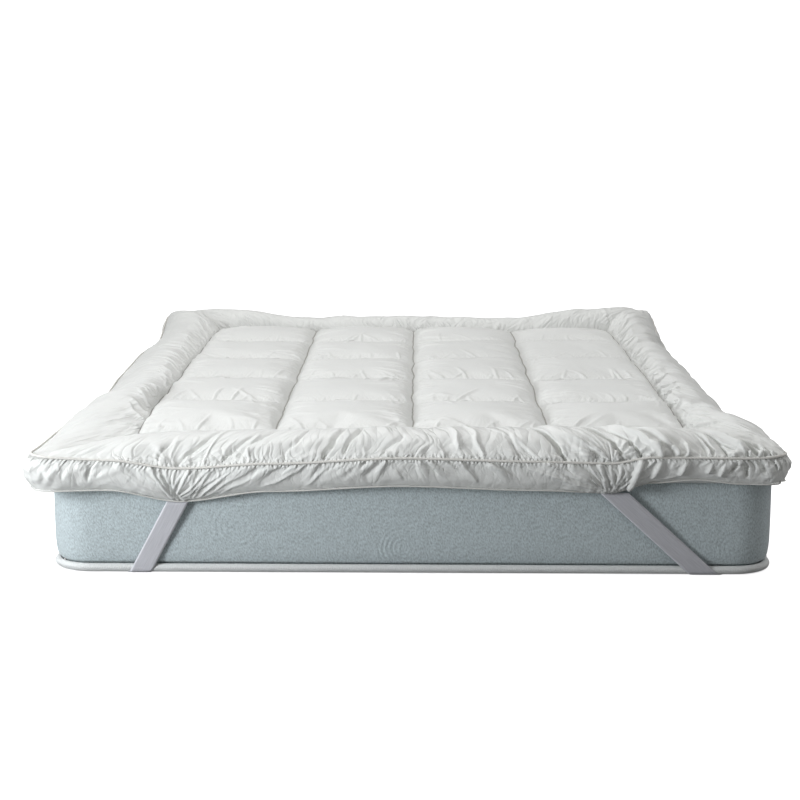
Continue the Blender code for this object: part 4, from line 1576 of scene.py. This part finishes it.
class BED_OT_stage(Operator):
    """Pale floor, soft light from the left, and the camera at the foot of the bed"""

    bl_idname = "bed.stage"
    bl_label = "Stage"

    def execute(self, context):
        settings, scene = context.scene.bed_stage, context.scene
        floor = object_from("floor", floor_mesh(), floor_material(settings.floor_color))
        floor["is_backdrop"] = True

        camera = bpy.data.cameras.new("camera")
        camera.sensor_width, camera.lens, camera.clip_end = 36.0, CAMERA_LENS, 60.0
        seen_from = bpy.data.objects.new("camera", camera)
        scene.collection.objects.link(seen_from)
        ahead = Vector(
            (math.sin(YAW) * math.cos(PITCH), math.cos(YAW) * math.cos(PITCH), -math.sin(PITCH))
        )
        level = ahead.to_track_quat("-Z", "Y").to_matrix().to_4x4()
        turned = level @ Matrix.Rotation(-ROLL, 4, "Z")
        seen_from.matrix_world = Matrix.Translation(CAMERA_PLACE) @ turned
        scene.camera = seen_from

        for name, place, size, power, color in (
            ("side_window", (-1.95, -2.3, 0.74), 0.9, settings.side, (0.97, 1.0, 1.03)),
            ("behind_above", (-0.9, 4.6, 5.6), 3.5, settings.above, (1.0, 1.0, 1.0)),
            ("left_above", (-2.6, -1.0, 2.6), 1.8, settings.above * 0.08, (1.0, 1.0, 1.0)),
        ):
            light = bpy.data.lights.new(name, "AREA")
            light.shape, light.size, light.energy, light.color = "DISK", size, power, color
            lamp = bpy.data.objects.new(name, light)
            lamp.location = place
            aim = Vector((0, 0, 0.2)) - lamp.location
            lamp.rotation_euler = aim.to_track_quat("-Z", "Y").to_euler()
            scene.collection.objects.link(lamp)
        scene.world = sky(settings.sky)
        scene.view_settings.view_transform = "Standard"
        return {"FINISHED"}


def draw_out(bm, edges, way):
    """Draws edges out into new faces, and returns the new edges."""
    made = bmesh.ops.extrude_edge_only(bm, edges=edges)["geom"]
    verts = [part for part in made if isinstance(part, bmesh.types.BMVert)]
    bmesh.ops.translate(bm, vec=way, verts=verts)
    return [part for part in made if isinstance(part, bmesh.types.BMEdge)]


def floor_mesh():
    """A floor that bends up into a backdrop behind the bed."""
    bm = bmesh.new()
    bmesh.ops.create_grid(bm, x_segments=8, y_segments=8, size=1.0)
    bmesh.ops.scale(bm, vec=(FLOOR_HALF, FLOOR_HALF, 1), verts=bm.verts[:])
    back = [e for e in bm.edges if all(v.co.y > FLOOR_HALF - 0.01 for v in e.verts)]
    turn = 0.0
    for _ in range(BEND_STEPS):
        turn += math.pi / 2 / BEND_STEPS
        back = draw_out(bm, back, (0, FLOOR_BEND * math.cos(turn), FLOOR_BEND * math.sin(turn)))
    draw_out(bm, back, (0, 0, BACKDROP))
    bmesh.ops.recalc_face_normals(bm, faces=bm.faces[:])
    return bm


def floor_material(color):
    """Shown nearly white, but throws only a little light back on the bed."""
    material, tree, shader = new_material("pale_floor", 0.9)
    seen = new_node(tree, "LightPath", "Is Camera Ray")
    feed(mix(seen, (0.25, 0.25, 0.25, 1.0), (*color, 1.0)), shader["Base Color"])
    shader["Emission Color"].default_value = (1, 1, 1, 1)
    feed(seen * 0.8, shader["Emission Strength"])
    return material


def sky(strength):
    """Light from all round, strongest behind the bed, which the camera sees as white."""
    world = bpy.data.worlds.new("soft_sky")
    world.use_nodes = True
    tree = world.node_tree
    background = tree.nodes["Background"].inputs
    background["Color"].default_value = (1, 1, 1, 1)
    x, y = split(new_node(tree, "TexCoord", "Generated"))
    around = x.do("MULTIPLY_ADD", 0.2, y.do("MULTIPLY_ADD", 0.7, 1.0))
    seen = new_node(tree, "LightPath", "Is Camera Ray")
    feed(seen.do("MAXIMUM", around * strength), background["Strength"])
    return world


# ------------------------------------------------------------ add-on


class VIEW3D_PT_bed(Panel):
    bl_label = "Mattress topper"
    bl_idname = "VIEW3D_PT_bed"
    bl_space_type = "VIEW_3D"
    bl_region_type = "UI"
    bl_category = "Bed"

    def draw(self, context):
        layout = self.layout
        for operator in OPERATORS:
            layout.operator(operator.bl_idname)
        for name, group in SETTINGS:
            box = layout.box()
            for prop in group.__annotations__:
                box.prop(getattr(context.scene, name), prop)


SETTINGS = (
    ("bed_topper", BedTopperSettings),
    ("bed_cords", BedCordSettings),
    ("bed_straps", BedStrapSettings),
    ("bed_mattress", BedMattressSettings),
    ("bed_stage", BedStageSettings),
)
OPERATORS = (
    BED_OT_stage, BED_OT_mattress, BED_OT_straps, BED_OT_quilt, BED_OT_border, BED_OT_cords
)


def register():
    for _, group in SETTINGS:
        bpy.utils.register_class(group)
    for name, group in SETTINGS:
        setattr(bpy.types.Scene, name, PointerProperty(type=group))
    for operator in OPERATORS:
        bpy.utils.register_class(operator)
    bpy.utils.register_class(VIEW3D_PT_bed)


def unregister():
    bpy.utils.unregister_class(VIEW3D_PT_bed)
    for operator in reversed(OPERATORS):
        bpy.utils.unregister_class(operator)
    for name, group in reversed(SETTINGS):
        delattr(bpy.types.Scene, name)
        bpy.utils.unregister_class(group)


def main():
    register()
    bpy.ops.bed.stage()
    bpy.ops.bed.mattress()
    bpy.ops.bed.straps()
    bpy.ops.bed.quilt()
    bpy.ops.bed.border()
    bpy.ops.bed.cords()
    boxes = {"cad": CAD_BOX, "visual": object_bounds()}
    {name: [list(map(float, end)) for end in box] for name, box in boxes.items()}


if __name__ == "__main__":
    main()
